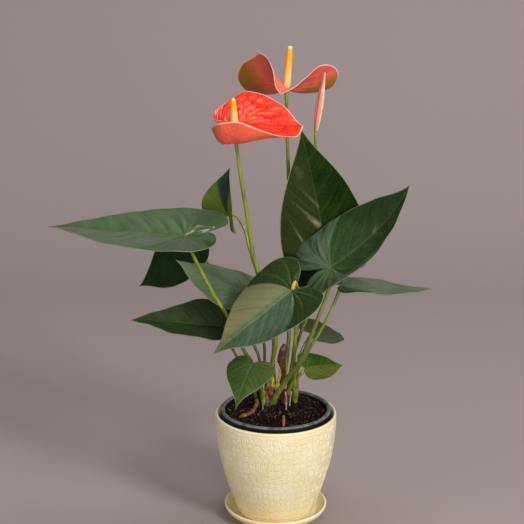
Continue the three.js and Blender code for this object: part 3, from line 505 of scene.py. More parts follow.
def catmull_rom(points, count):
    """Points spaced evenly along the smooth curve through the given ones: between b and c,
    with neighbours a and d, it is half of 2b + (c - a)t + (2a - 5b + 4c - d)t^2
    + (3b - a - 3c + d)t^3."""
    p = np.array(points, float)
    q = np.vstack([2 * p[0] - p[1], p, 2 * p[-1] - p[-2]])
    t = np.linspace(0, 1, 24, endpoint=False)[None, :, None]
    a, b, c, d = (q[i:len(q) - 3 + i, None, :] for i in range(4))
    dense = 0.5 * (2 * b + (c - a) * t + (2 * a - 5 * b + 4 * c - d) * t**2
                   + (3 * b - a - 3 * c + d) * t**3)
    dense = np.vstack([dense.reshape(-1, p.shape[1]), p[-1:]])
    steps = np.linalg.norm(np.diff(dense[:, :3], axis=0), axis=1)
    length = np.append(0, np.cumsum(steps))
    at = np.linspace(0, length[-1], count)
    return np.stack([np.interp(at, length, dense[:, k]) for k in range(p.shape[1])], 1)


def fan_sheet(grid, thickness):
    """A closed sheet over a fan. grid[0] is the knee repeated, and every further ring runs
    from one side of the notch round the tip to the other. Both faces lie half a thickness
    from the grid along its normal, thinner at the rim. Returns points and faces."""
    rings, columns = grid.shape[0] - 1, grid.shape[1]
    outward = np.gradient(grid, axis=0)
    around = np.gradient(grid, axis=1)
    normal = np.cross(around, outward)
    normal[0] = unit(normal[1:4]).mean(axis=(0, 1))
    normal = unit(normal)
    reach = np.linspace(0, 1, rings + 1)[:, None, None]
    half = 0.5 * thickness * (1 - RIM_THINNING * reach**12)
    upper, lower = grid + normal * half, grid - normal * half
    points = np.stack([upper[1:], lower[1:]], axis=2).reshape(-1, 3)
    points = np.vstack([upper[0, :1], lower[0, :1], points])
    index = 2 + 2 * np.arange(rings * columns).reshape(rings, columns)
    index = np.vstack([np.zeros((1, columns), int), index])
    a, b = index[1:-1, :-1].ravel(), index[2:, :-1].ravel()
    c, d = index[2:, 1:].ravel(), index[1:-1, 1:].ravel()
    top = np.vstack([np.stack([a, c, b], 1), np.stack([a, d, c], 1),
                     np.stack([0 * index[1, :-1], index[1, 1:], index[1, :-1]], 1)])
    bottom = top[:, ::-1] + 1
    start = np.concatenate([index[-1, :-1], index[:-1, 0], index[1:, -1]])
    end = np.concatenate([index[-1, 1:], index[1:, 0], index[:-1, -1]])
    return points, np.vstack([top, bottom, split(start, end, end + 1, start + 1)])


def fan_values(values):
    """The values of a fan's grid in the order of fan_sheet's points."""
    pairs = np.repeat(values[1:].reshape(-1), 2)
    return np.concatenate([[values[0, 0]] * 2, pairs])


def fan_vectors(x, y):
    """The vectors (x, y, 0) of a fan's grid in the order of fan_sheet's points."""
    return np.stack([fan_values(x), fan_values(y), 0 * fan_values(x)], 1)


def which_side(count):
    """0 for the upper face's points and 1 for the lower face's, in fan_sheet's order."""
    return np.tile([0.0, 1.0], count // 2)


def ring_tube(centres, radii, sides, shape=None):
    """A closed tube: rings of points round a line of centres, capped at both ends. Each ring
    lies across the line, and its first direction is the last ring's, made square to the line.
    shape multiplies the radius at each ring and side."""
    centres = np.asarray(centres, float)
    tangent = unit(np.gradient(centres, axis=0))
    first = np.cross(tangent[0], (0.0, 1.0, 0.2))
    normals = np.empty_like(centres)
    for i, along in enumerate(tangent):
        first = first - along * (first @ along)
        first = first / np.linalg.norm(first)
        normals[i] = first
    across = np.cross(tangent, normals)
    turn = circle(sides)
    wide = np.asarray(radii, float)[:, None] * (np.ones((1, sides)) if shape is None else shape)
    rings = (centres[:, None, :]
             + wide[..., None] * (np.cos(turn)[None, :, None] * normals[:, None, :]
                                  + np.sin(turn)[None, :, None] * across[:, None, :]))
    count = len(centres)
    index = np.arange(count * sides).reshape(count, sides)
    faces, following = ring_faces(index)
    start, end = count * sides, count * sides + 1
    faces = np.vstack([faces, cap(start, following[0], index[0]),
                       cap(end, index[-1], following[-1])])
    return np.vstack([rings.reshape(-1, 3), centres[:1], centres[-1:]]), faces


def tube_values(values, sides):
    """One value for each ring, in the order of ring_tube's points."""
    return np.concatenate([np.repeat(values, sides), values[:1], values[-1:]])


def turned(profile, sides, relief=None):
    """A profile of radius r and height z turned about the vertical axis, as (r cos, r sin, z)
    of the angle. It starts and ends on the axis, or closes on itself. relief is added to the
    radius. Returns points and faces."""
    profile = np.asarray(profile, float)
    on_axis = profile[0, 0] == 0
    ring = profile[1:-1] if on_axis else profile
    turn = circle(sides)
    reach = ring[:, :1] + (0 if relief is None else relief)
    points = np.stack([reach * np.cos(turn), reach * np.sin(turn),
                       np.repeat(ring[:, 1:], sides, axis=1)], axis=2)
    index = np.arange(len(ring) * sides).reshape(len(ring), sides)
    if not on_axis:
        index = np.vstack([index, index[:1]])
    faces, following = ring_faces(index)
    points = points.reshape(-1, 3)
    if on_axis:
        low, high = len(points), len(points) + 1
        faces = np.vstack([faces, cap(low, following[0], index[0]),
                           cap(high, index[-1], following[-1])])
        points = np.vstack([points, (0, 0, profile[0, 1]), (0, 0, profile[-1, 1])])
    return points, faces


# ------------------------------------------------------------ materials

def feed(tree, socket, value):
    """Link an output into the socket, or set the socket; a colour gets alpha 1."""
    if isinstance(value, bpy.types.NodeSocket):
        tree.links.new(value, socket)
    elif socket.type == "RGBA":
        socket.default_value = (*value, 1.0)
    else:
        socket.default_value = value


def node(tree, kind, inputs=None, **settings):
    """A new node with its settings, its inputs fed by name or number."""
    made = tree.nodes.new(kind)
    for key, value in settings.items():
        setattr(made, key, value)
    for key, value in (inputs or {}).items():
        feed(tree, made.inputs[key], value)
    return made


def mask(tree, name):
    """An attribute of the surface that holds numbers."""
    return node(tree, "ShaderNodeAttribute", attribute_name=name).outputs["Fac"]


def place_on(tree, name):
    """An attribute of the surface that holds places."""
    return node(tree, "ShaderNodeAttribute", attribute_name=name).outputs["Vector"]


def object_place(tree):
    """The place of a point in its object, in metres."""
    return node(tree, "ShaderNodeTexCoord").outputs["Object"]


def stretched(tree, place, scale):
    """A place with each coordinate times its own scale."""
    return node(tree, "ShaderNodeMapping", {"Vector": place, "Scale": scale}).outputs["Vector"]


def height_of(tree, place):
    """The third coordinate of a place."""
    return node(tree, "ShaderNodeSeparateXYZ", {"Vector": place}).outputs[2]


def math_node(tree, operation, a, b=0.0, c=0.0):
    """One of the plain operations on two or three numbers."""
    return node(tree, "ShaderNodeMath", {0: a, 1: b, 2: c}, operation=operation).outputs[0]


def times(tree, a, b):
    """a b"""
    return math_node(tree, "MULTIPLY", a, b)


def times_plus(tree, a, b, c):
    """a b + c"""
    return math_node(tree, "MULTIPLY_ADD", a, b, c)


def minus(tree, a, b):
    """a - b"""
    return math_node(tree, "SUBTRACT", a, b)


def ramp(tree, value, low, high):
    """0 below low and 1 above high, smooth between."""
    made = node(tree, "ShaderNodeMapRange", {"Value": value, "From Min": low, "From Max": high},
                interpolation_type="SMOOTHSTEP")
    return made.outputs["Result"]


def mix_colour(tree, share, a, b):
    """The colour a (1 - share) + b share."""
    return node(tree, "ShaderNodeMix", {0: share, 6: a, 7: b}, data_type="RGBA").outputs[2]


def layered(tree, base, *layers):
    """A base colour under further ones, each mixed in by its own mask."""
    for share, colour in layers:
        base = mix_colour(tree, share, base, colour)
    return base


def noise(tree, scale, detail=3.0, vector=None, rough=0.5):
    """Cloudy noise from 0 to 1, scale waves to a metre or to a unit of the vector."""
    inputs = {"Scale": scale, "Detail": detail, "Roughness": rough}
    inputs["Vector"] = vector or object_place(tree)
    return node(tree, "ShaderNodeTexNoise", inputs).outputs["Fac"]


def new_material(name):
    """A material with a principled shader; returns it, its tree and the shader."""
    material = bpy.data.materials.new(name)
    material.use_nodes = True
    tree = material.node_tree
    return material, tree, tree.nodes["Principled BSDF"]


def dress(tree, shader, colour, bump=None, **numbers):
    """Feed a shader its colour, its numbers (by their names, with _ for a space) and a bump
    from a height, its strength and its depth in metres."""
    feed(tree, shader.inputs["Base Color"], colour)
    for key, value in numbers.items():
        feed(tree, shader.inputs[key.replace("_", " ")], value)
    if bump:
        height, strength, depth = bump
        made = node(tree, "ShaderNodeBump", {"Height": height, "Strength": strength,
                                             "Distance": depth})
        feed(tree, shader.inputs["Normal"], made.outputs["Normal"])


def new_group(name, colours=(), numbers=(), outputs=("Colour", "Height")):
    """An empty group with its sockets; returns it, what it is given and what it puts out."""
    group = bpy.data.node_groups.new(name, "ShaderNodeTree")
    for label in (*colours, *numbers):
        kind = "NodeSocketColor" if label in colours else "NodeSocketFloat"
        group.interface.new_socket(label, in_out="INPUT", socket_type=kind)
    for label in outputs:
        kind = "NodeSocketColor" if label == "Colour" else "NodeSocketFloat"
        group.interface.new_socket(label, in_out="OUTPUT", socket_type=kind)
    given, out = group.nodes.new("NodeGroupInput"), group.nodes.new("NodeGroupOutput")
    return group, given.outputs, out.inputs


def use_group(tree, group, inputs):
    """A group placed in a tree with its own values; returns its outputs."""
    return node(tree, "ShaderNodeGroup", inputs, node_tree=group).outputs


def net_group():
    """A fine net of small veins: 1 within Width of the edge between two cells."""
    group, given, out = new_group("vein_net", (), ("Scale", "Width"), ("Line",))
    cells = node(group, "ShaderNodeTexVoronoi",
                 {"Vector": place_on(group, "flat"), "Scale": given["Scale"]},
                 feature="DISTANCE_TO_EDGE").outputs["Distance"]
    feed(group, out["Line"], minus(group, 1.0, ramp(group, cells, 0.0, given["Width"])))
    return group


def painted_sheen_mask(group, given, streaks):
    """Mask of the painted sheen: on one half, softly at the midrib, or on both; streaky."""
    sided = minus(group, times(group, mask(group, "across"), given["side"]), given["sheen_from"])
    both = math_node(group, "LESS_THAN", math_node(group, "ABSOLUTE", given["side"]), 0.5)
    wash = math_node(group, "MAXIMUM", ramp(group, sided, -0.02, 0.16), both)
    wash = times(group, wash, ramp(group, streaks, 0.12, 0.58))
    return times(group, wash, given["share"])


def leaf_group(net):
    """Colour, roughness and bump height of a leaf: mottled green, then the painted sheen, the
    lobes' painted light and shade, veins, marks (on leaf_7 painted highlights), margin and dry tip
    laid over it by their masks, and all paler underneath."""
    group, given, out = new_group("leaf_skin", LEAF_COLOURS, LEAF_NUMBERS,
                                  ("Colour", "Roughness", "Height"))
    flat = place_on(group, "flat")
    patches = noise(group, 28.0, 4.0, flat, 0.6)
    specks = noise(group, 240.0, 3.0, flat)
    weave = stretched(group, place_on(group, "weave"), (2.6, 1.3, 1.0))
    streaks = noise(group, 1.0, 5.0, weave, 0.62)
    mottled = times_plus(group, specks, 0.30, times(group, patches, 0.45))
    mottled = times_plus(group, streaks, 0.65, mottled)
    unlit = minus(group, 1.0, ramp(group, streaks, 0.35, 0.60))
    # the lobes' painted light and shade, thinned into patches where the streaks are low
    lobe_light_shade = minus(group, given["painted_lobe_share"], times(group, unlit, given["painted_lobe_patch"]))
    line = use_group(group, net, {"Scale": 260.0, "Width": 0.12})["Line"]
    vein, under = mask(group, "vein"), mask(group, "under")
    drawn = times_plus(group, line, 0.10, times(group, vein, times(group, patches, 0.9)))
    spotted = times_plus(group, specks, 1.2, 0.4)
    dry = times(group, ramp(group, mask(group, "along"), 0.90, 0.99), given["tip"])
    skin = layered(
        group, given["deep"],
        (ramp(group, mottled, 0.52, 0.90), given["light"]),
        # the painted sheen
        (painted_sheen_mask(group, given, streaks), given["painted_sheen"]),
        # painted light and shade of the lobes
        (times(group, mask(group, "lobe"), lobe_light_shade), given["lobe"]),
        (drawn, given["vein"]),
        # marks: real veins and spots, and painted highlights on leaf_7
        (times(group, mask(group, "mark"), spotted), given["mark"]),
        (ramp(group, mask(group, "margin"), 0.982, 0.998), LEAF_MARGIN),
        (dry, LEAF_TIP))
    pale = mix_colour(group, 0.55, skin, LEAF_UNDERSIDE)
    feed(group, out["Colour"], mix_colour(group, under, skin, pale))
    rough = times_plus(group, patches, 0.16, given["rough"])
    feed(group, out["Roughness"], times_plus(group, under, 0.15, rough))
    height = times_plus(group, line, -0.3, times(group, vein, -0.3))
    feed(group, out["Height"], times_plus(group, specks, 0.35, height))
    return group


def leaf_material(name, look, group):
    """One leaf's skin: the leaf group with the leaf's own look, gloss and coat."""
    material, tree, shader = new_material(name + "_skin")
    skin = use_group(tree, group, {key: look[key] for key in LEAF_COLOURS + LEAF_NUMBERS})
    dress(tree, shader, skin["Colour"], (skin["Height"], 0.5, 0.0006),
          Roughness=skin["Roughness"], Specular_IOR_Level=look["gloss"],
          Coat_Weight=look["coat"], Coat_Roughness=look["coat_rough"])
    return material


def spathe_group(net):
    """Inside and outside of a spathe: a painted highlight on the blisters' tops, painted shade in
    the creases between them and towards the notch, washed and rimmed.
    """
    group, given, out = new_group("spathe_skin", tuple(RED_SPATHE))
    line = use_group(group, net, {"Scale": 300.0, "Width": 0.16})["Line"]
    patches = noise(group, 60.0, 4.0, place_on(group, "flat"), 0.6)
    raised = times_plus(group, mask(group, "vein"), 0.7, times(group, patches, 0.6))
    # painted highlight on the blisters' tops, with the fine veins
    drawn = times_plus(group, line, 0.10, ramp(group, raised, 0.72, 1.15))
    # painted shade in the creases between the blisters
    inner = layered(group, given["Shade"], (ramp(group, raised, 0.25, 0.65), given["Inside"]),
                    (drawn, given["Vein_and_Highlight"]))
    fine = times_plus(group, line, 0.16, times(group, patches, 0.35))
    spread = math_node(group, "ADD", mask(group, "wash"), times_plus(group, patches, 1.8, -0.9))
    outer = layered(group, given["Outside"], (fine, given["Vein_and_Highlight"]),
                    (ramp(group, spread, 0.1, 1.1), given["Edge"]))
    # painted shade towards the notch, deepest in the creases
    deep = mix_colour(group, raised, SPATHE_NOTCH_SHADE, given["Shade"])
    skin = layered(group, inner, (mask(group, "deep"), deep), (mask(group, "under"), outer),
                   (ramp(group, mask(group, "margin"), 0.975, 0.996), given["Rim"]))
    feed(group, out["Colour"], skin)
    feed(group, out["Height"], times_plus(group, patches, 0.8, times(group, line, -0.5)))
    return group


def spathe_material(name, group, colours, rough, coat):
    """One spathe's skin: the spathe group in its own colours, under a thin coat."""
    material, tree, shader = new_material(name)
    skin = use_group(tree, group, colours)
    dress(tree, shader, skin["Colour"], (skin["Height"], 0.6, 0.0009), Roughness=rough,
          Specular_IOR_Level=0.2, Coat_Weight=coat, Coat_Roughness=0.13)
    return material


def spadix_material():
    """Cream at the foot, through orange-yellow to bright yellow, with a pale top, and painted shade
    in the grooves between the flowers.
    """
    material, tree, shader = new_material("spadix_skin")
    along = mask(tree, "along")
    skin = layered(tree, SPADIX_COLOURS["foot"],
                   (ramp(tree, along, 0.15, 0.7), SPADIX_COLOURS["middle"]),
                   (ramp(tree, along, 0.55, 0.85), SPADIX_COLOURS["high"]),
                   (ramp(tree, along, 0.90, 1.0), SPADIX_COLOURS["top"]),
                   # painted shade in the grooves between the flowers
                   (times(tree, mask(tree, "grain"), 0.35), SPADIX_COLOURS["groove_shade"]))
    dress(tree, shader, skin, Roughness=0.5, Specular_IOR_Level=0.2)
    return material


def bud_material():
    """Green at the foot and pink above, with paler clouds, a pale edge and its shadow."""
    material, tree, shader = new_material("bud_skin")
    skin = layered(tree, BUD_COLOURS["foot"],
                   (ramp(tree, mask(tree, "along"), 0.0, 0.25), BUD_COLOURS["skin"]),
                   (ramp(tree, noise(tree, 70.0), 0.4, 0.7), BUD_COLOURS["pale"]),
                   (mask(tree, "edge"), BUD_COLOURS["edge"]),
                   (mask(tree, "shade"), BUD_COLOURS["shade"]))
    dress(tree, shader, skin, Roughness=0.4)
    return material


def stem_material():
    """Yellow-green with long streaks, browner at the foot, and darker by a painted shade where the
    leaves shade it.
    """
    material, tree, shader = new_material("stem_skin")
    place = object_place(tree)
    streaks = noise(tree, 420.0, 3.0, stretched(tree, place, (1.0, 1.0, 0.08)))
    tone = times_plus(tree, streaks, 0.5, times(tree, noise(tree, 22.0, 3.0, place), 0.6))
    foot = minus(tree, 1.0, ramp(tree, mask(tree, "height"), 136.0, 168.0))
    rust = times(tree, foot, ramp(tree, noise(tree, 160.0, 3.0, place), 0.35, 0.7))
    knee = times(tree, ramp(tree, mask(tree, "along"), 0.93, 0.985), 0.6)
    skin = layered(tree, STEM_COLOURS["dark"],
                   (ramp(tree, tone, 0.32, 0.75), STEM_COLOURS["light"]),
                   (rust, STEM_COLOURS["rust"]),
                   # painted shade from the leaves above
                   (mask(tree, "tone"), STEM_COLOURS["shaded"]),
                   (mask(tree, "gold"), STEM_COLOURS["gold"]),
                   (knee, STEM_COLOURS["knee"]))
    dress(tree, shader, skin, (streaks, 0.25, 0.0005), Roughness=0.38, Coat_Weight=0.15)
    return material


def grain_group():
    """Two tones mixed by noise, and that noise as a height."""
    group, given, out = new_group("grain_skin", ("Dark", "Light"))
    grain = noise(group, 190.0, 5.0, rough=0.65)
    tone = ramp(group, grain, 0.35, 0.68)
    feed(group, out["Colour"], mix_colour(group, tone, given["Dark"], given["Light"]))
    feed(group, out["Height"], grain)
    return group


def plain_material(name, group, dark, light, rough):
    """Dry skins, roots and peat bits: two tones of grain with a matching bump."""
    material, tree, shader = new_material(name)
    skin = use_group(tree, group, {"Dark": dark, "Light": light})
    dress(tree, shader, skin["Colour"], (skin["Height"], 0.6, 0.0008), Roughness=rough)
    return material


def glaze_group():
    """Cream glaze: warmer towards the foot, a painted reflection of the saucer, and darker in the
    hollows of the strokes, a painted shade.
    """
    group, given, out = new_group("glaze", (), ("Foot_Reflection",))
    place = object_place(group)
    low = minus(group, 1.0, ramp(group, height_of(group, place), 0.004, 0.06))
    skin = layered(group, GLAZE_COLOURS["cream"],
                   (ramp(group, noise(group, 30.0, 3.0, place), 0.3, 0.7), GLAZE_COLOURS["pale"]),
                   # painted reflection of the saucer, towards the foot
                   (times(group, low, given["Foot_Reflection"]), GLAZE_COLOURS["saucer_reflection"]),
                   # painted shade in the hollows of the strokes
                   (times(group, mask(group, "hollow_shade"), 0.42), GLAZE_COLOURS["hollow_shade"]))
    feed(group, out["Colour"], skin)
    feed(group, out["Height"], noise(group, 900.0, 3.0, place))
    return group


def glaze_material(name, group, foot_reflection):
    """The glaze of the cover pot or the saucer."""
    material, tree, shader = new_material(name)
    skin = use_group(tree, group, {"Foot_Reflection": foot_reflection})
    dress(tree, shader, skin["Colour"], (skin["Height"], 0.25, 0.0003), Roughness=0.45)
    return material


def grow_pot_material():
    """Black plastic, with grey on the rim where it looks up: partly dust and partly painted light.
    """
    material, tree, shader = new_material("grow_plastic_skin")
    place = object_place(tree)
    cloud = ramp(tree, noise(tree, 90.0, 5.0, place, 0.7), 0.25, 0.65)
    # grey on the rim's top: dust and painted light
    dust_and_light = times(tree, ramp(tree, height_of(tree, place), 0.1292, 0.1310), cloud)
    dress(tree, shader, mix_colour(tree, dust_and_light, PLASTIC_BLACK, PLASTIC_DUST_AND_LIGHT), Roughness=0.6,
          Specular_IOR_Level=0.2)
    return material


def peat_material():
    """Nearly black peat from coarse and fine noise, with a few paler specks."""
    material, tree, shader = new_material("peat_skin")
    coarse = noise(tree, 120.0, 6.0, rough=0.7)
    fine = noise(tree, 700.0, 4.0, rough=0.7)
    tone = times_plus(tree, fine, 0.5, times(tree, coarse, 0.6))
    specks = times(tree, ramp(tree, noise(tree, 1100.0, 1.0), 0.70, 0.76), 0.5)
    skin = layered(tree, PEAT_COLOURS["dark"],
                   (ramp(tree, tone, 0.42, 0.72), PEAT_COLOURS["light"]),
                   (specks, PEAT_COLOURS["speck"]))
    dress(tree, shader, skin, (tone, 1.0, 0.004), Roughness=0.9, Specular_IOR_Level=0.1)
    return material


# ------------------------------------------------------------ leaves

def bezier(corners, count):
    """Points on the cubic arc (1-t)^3 p0 + 3(1-t)^2 t p1 + 3(1-t) t^2 p2 + t^3 p3."""
    t = np.linspace(0, 1, count)[:, None]
    p = np.array(corners, float)
    return (1 - t)**3 * p[0] + 3 * (1 - t)**2 * t * p[1] + 3 * (1 - t) * t**2 * p[2] + t**3 * p[3]


def half_outline(half, lobe, length, notch, steps, taper):
    """One half of the flat heart from the notch to the tip, evenly spaced: a Bezier arc round
    the lobe to the widest place, and one on to the tip, whose last control point is taper."""
    notch = math.radians(notch)
    widest = WIDEST * length
    start = (-3 * math.cos(notch), 3 * math.sin(notch))
    lobe_arc = bezier([start, (-0.75 * lobe, 0.75 * lobe * math.tan(notch)),
                       (-1.25 * lobe, half), (widest, half)], 90)
    tip_arc = bezier([(widest, half), (widest + 0.45 * (length - widest), half),
                      (taper[0] * length, taper[1] * half), (length, 0)], 120)
    path = np.vstack([lobe_arc, tip_arc[1:]])
    away = np.append(0, np.cumsum(np.linalg.norm(np.diff(path, axis=0), axis=1)))
    at = np.linspace(0, away[-1], steps + 1)
    return np.stack([np.interp(at, away, path[:, 0]), np.interp(at, away, path[:, 1])], 1)


def leaf_axes(leaf):
    """Knee, axes along, to the left and out of the upper side, and the midrib's length. The
    upper side is the facing direction made square to the line from knee to tip, and half the
    droop turns the axes back, so that the arc of the midrib still ends at the tip."""
    knee, tip = np.array(leaf["knee"], float), np.array(leaf["tip"], float)
    chord = np.linalg.norm(tip - knee)
    ahead = (tip - knee) / chord
    turn, lift = np.radians(leaf["face"])
    facing = np.array([math.sin(turn) * math.cos(lift), -math.cos(turn) * math.cos(lift),
                       math.sin(lift)])
    upper = unit(facing - ahead * (facing @ ahead))
    left = np.cross(upper, ahead)
    half = math.radians(leaf["droop"]) / 2
    length = chord * (half / math.sin(half)) if half else chord
    along = math.cos(half) * ahead + math.sin(half) * upper
    out = math.cos(half) * upper - math.sin(half) * ahead
    return knee, along, left, out, length


def arc(distance, rate):
    """A way along a circular arc: sin(rate d) / rate ahead and (1 - cos(rate d)) / rate up."""
    rate = np.where(np.abs(rate) < 1e-6, 1e-6, rate)
    return np.sin(rate * distance) / rate, (1 - np.cos(rate * distance)) / rate


def bend(leaf, axes, a, b, lift):
    """The flat points (a, b), raised by lift off the blade, on the bent blade: cupped and
    folded across it, then bent along the midrib, as the head of this file says."""
    knee, along, left, out, length = axes
    half = leaf["width"] / 2
    cup = np.where(b >= 0, leaf["cup"][0], leaf["cup"][1]) * math.pi / 180 / half
    cup = np.where(np.abs(cup) < 1e-6, 1e-6, cup)
    fold = math.radians(leaf["fold"])
    turned_by = fold + cup * np.abs(b)
    y = np.sign(b) * (np.sin(turned_by) - math.sin(fold)) / cup
    z = (math.cos(fold) - np.cos(turned_by)) / cup + lift
    rate = np.where(a >= 0, -math.radians(leaf["droop"]) / length,
                    math.radians(leaf["curl"]) / max(leaf["lobe"]))
    x, rise = arc(a, rate)
    angle = rate * a
    x, z = x - np.sin(angle) * z, rise + np.cos(angle) * z
    return knee + x[..., None] * along + y[..., None] * left + z[..., None] * out


def leaf_veins(a, b, length, half):
    """How strongly each point lies on a vein, the phase between two side veins (whole on a
    vein), and the angle of the curved direction from the knee to the midrib. The phase is
    (a - bow b^2 / half - b / tan(slant)) / spacing ahead of the knee, and (slant - angle) /
    spread behind it."""
    away = np.abs(b)
    straight = a - VEIN_BOW * away**2 / half
    slant, spread = math.radians(VEIN_SLANT), math.radians(VEIN_SPREAD)
    spacing = min(max(length / VEIN_SPACES, VEIN_SPACING[0]), VEIN_SPACING[1])
    start = straight - away / math.tan(slant)
    angle = np.arctan2(away, straight)
    reach = np.hypot(away, straight)
    phase = np.where(start > 0, start / spacing, (slant - angle) / spread)
    off = np.abs(phase - np.round(phase))
    distance = np.where(start > 0, off * spacing * math.sin(slant), off * spread * reach)
    fade = np.clip(1.25 - away / half, 0, 1) * np.clip(reach / 6, 0, 1)
    side_vein = bell(distance, VEIN_WIDTH) * (0.15 + 0.65 * fade)
    rib_width = 0.5 + 1.0 * np.clip(1 - a / length, 0, 1)
    midrib = bell(away, rib_width) * (a > -4)
    return np.maximum(midrib, 0.6 * side_vein), phase, np.degrees(angle)


def mark_mask(a, b, marks):
    """1 on the marks and 0 away from them: each is a bell over the distance to a short line
    on the flat blade, given by its two ends, its width, its strength and how much of both is
    lost on the way to the second end."""
    marked = np.zeros(a.shape)
    for (a0, b0), (a1, b1), width, strength, loss in marks:
        da, db = a1 - a0, b1 - b0
        t = np.clip(((a - a0) * da + (b - b0) * db) / max(da * da + db * db, 1e-6), 0, 1)
        away = np.hypot(a - a0 - t * da, b - b0 - t * db)
        left = 1 - loss * t
        marked = np.maximum(marked, strength * left * bell(away, width * left))
    return marked


def blade_relief(leaf, a, b, t, phase, seed):
    """Pillows sin(pi phase)^2 between the veins, higher near the knee and uneven from one to
    the next, and slow waves of the blade and its edge, which start away from the knee."""
    size = min(1, leaf["width"] / 2 / FULL_HALF)
    away = np.hypot(a, b)
    pillow = (PILLOW_HEIGHT * size * np.sin(np.pi * phase)**2 * np.clip(np.abs(b) / 9, 0, 1)
              * (1 - t**5))
    pillow = pillow * (1 + leaf["swell"] * bell(away, leaf["swell_reach"]))
    pillow = pillow * (0.65 + 0.35 * np.sin(1.7 * np.floor(phase) + np.sign(b) + seed))
    ripple = size * (1.1 * np.sin(a / 15.0 + seed) * np.sin(b / 12.0 + 2 * seed)
                     + 0.5 * np.sin(a / 6.1 + 0.7 * b / 5.3 + seed))
    turn = np.linspace(0, 2 * np.pi, a.shape[1])[None, :]
    wave = size * leaf["wave"] * (t**4 * np.sin(6 * turn + seed)
                                  + 0.4 * t**6 * np.sin(13 * turn + 3 * seed))
    return pillow, np.clip((away - 6) / 18, 0, 1) * (0.5 * ripple + wave)


def leaf_piece(name, leaf, look, group, steps=104, rings=58):
    """One blade: its flat outline shrunk ring by ring to the knee, with veins and relief,
    bent into place and given its thickness."""
    axes = leaf_axes(leaf)
    length, half = axes[4], leaf["width"] / 2
    left, right = (half_outline(half, lobe, length, notch, steps, leaf["taper"])
                   for lobe, notch in zip(leaf["lobe"], leaf["notch"]))
    rim = np.vstack([left, right[-2::-1] * (1, -1)])
    t = np.linspace(0, 1, rings + 1)[:, None]
    a, b = t * rim[:, 0], t * rim[:, 1]
    vein, phase, angle = leaf_veins(a, b, length, half)
    # where the lobes' painted light and shade sets in, by the angle round the knee
    lobe = smooth_step(angle, *(look["painted_lobe_from"] + blend for blend in LOBE_BLEND))
    pillow, waves = blade_relief(leaf, a, b, t, phase, float(np.sum(leaf["tip"])))
    groove = GROOVE_DEPTH * vein * np.clip(np.hypot(a, b) / 8, 0, 1)
    mark = mark_mask(a, b, look["marks"])
    grid = bend(leaf, axes, a, b, pillow - groove + waves + MARK_HEIGHT * mark)
    points, faces = fan_sheet(grid, BLADE_THICKNESS)
    floats = {"vein": vein, "margin": t + 0 * a, "along": a / length, "across": b / half,
              "lobe": lobe, "mark": mark}
    floats = {key: fan_values(values) for key, values in floats.items()}
    floats["under"] = which_side(len(points))
    make_piece(name + "_blade", points, faces,
               leaf_material(name, look, group), [name], floats,
               {"flat": fan_vectors(a, b) * MM, "weave": fan_vectors(phase, b / half)})


# ------------------------------------------------------------ spathes and spadices

def jittered(cell, draw):
    """The place of a cell's point: the cell's number plus 0.15 to 0.85, as drawn."""
    return cell + JITTER[0] + JITTER[1] * draw


def blisters(p, q, seed):
    """Domes on a jittered grid over (p, q): one less the squared distance to the nearest cell
    point, so that they meet in creases."""
    draws = np.random.default_rng(seed).random((BLISTER_TABLE, BLISTER_TABLE, 2))
    i, j = np.floor(p).astype(int), np.floor(q).astype(int)
    nearest = np.full(np.broadcast(p, q).shape, 9.0)
    for di in (-1, 0, 1):
        for dj in (-1, 0, 1):
            draw = draws[(i + di) % BLISTER_TABLE, (j + dj) % BLISTER_TABLE]
            x = p - jittered(i + di, draw[..., 0])
            y = q - jittered(j + dj, draw[..., 1])
            nearest = np.minimum(nearest, x * x + y * y)
    return np.clip(1 - nearest / BLISTER_SIZE, 0, 1)


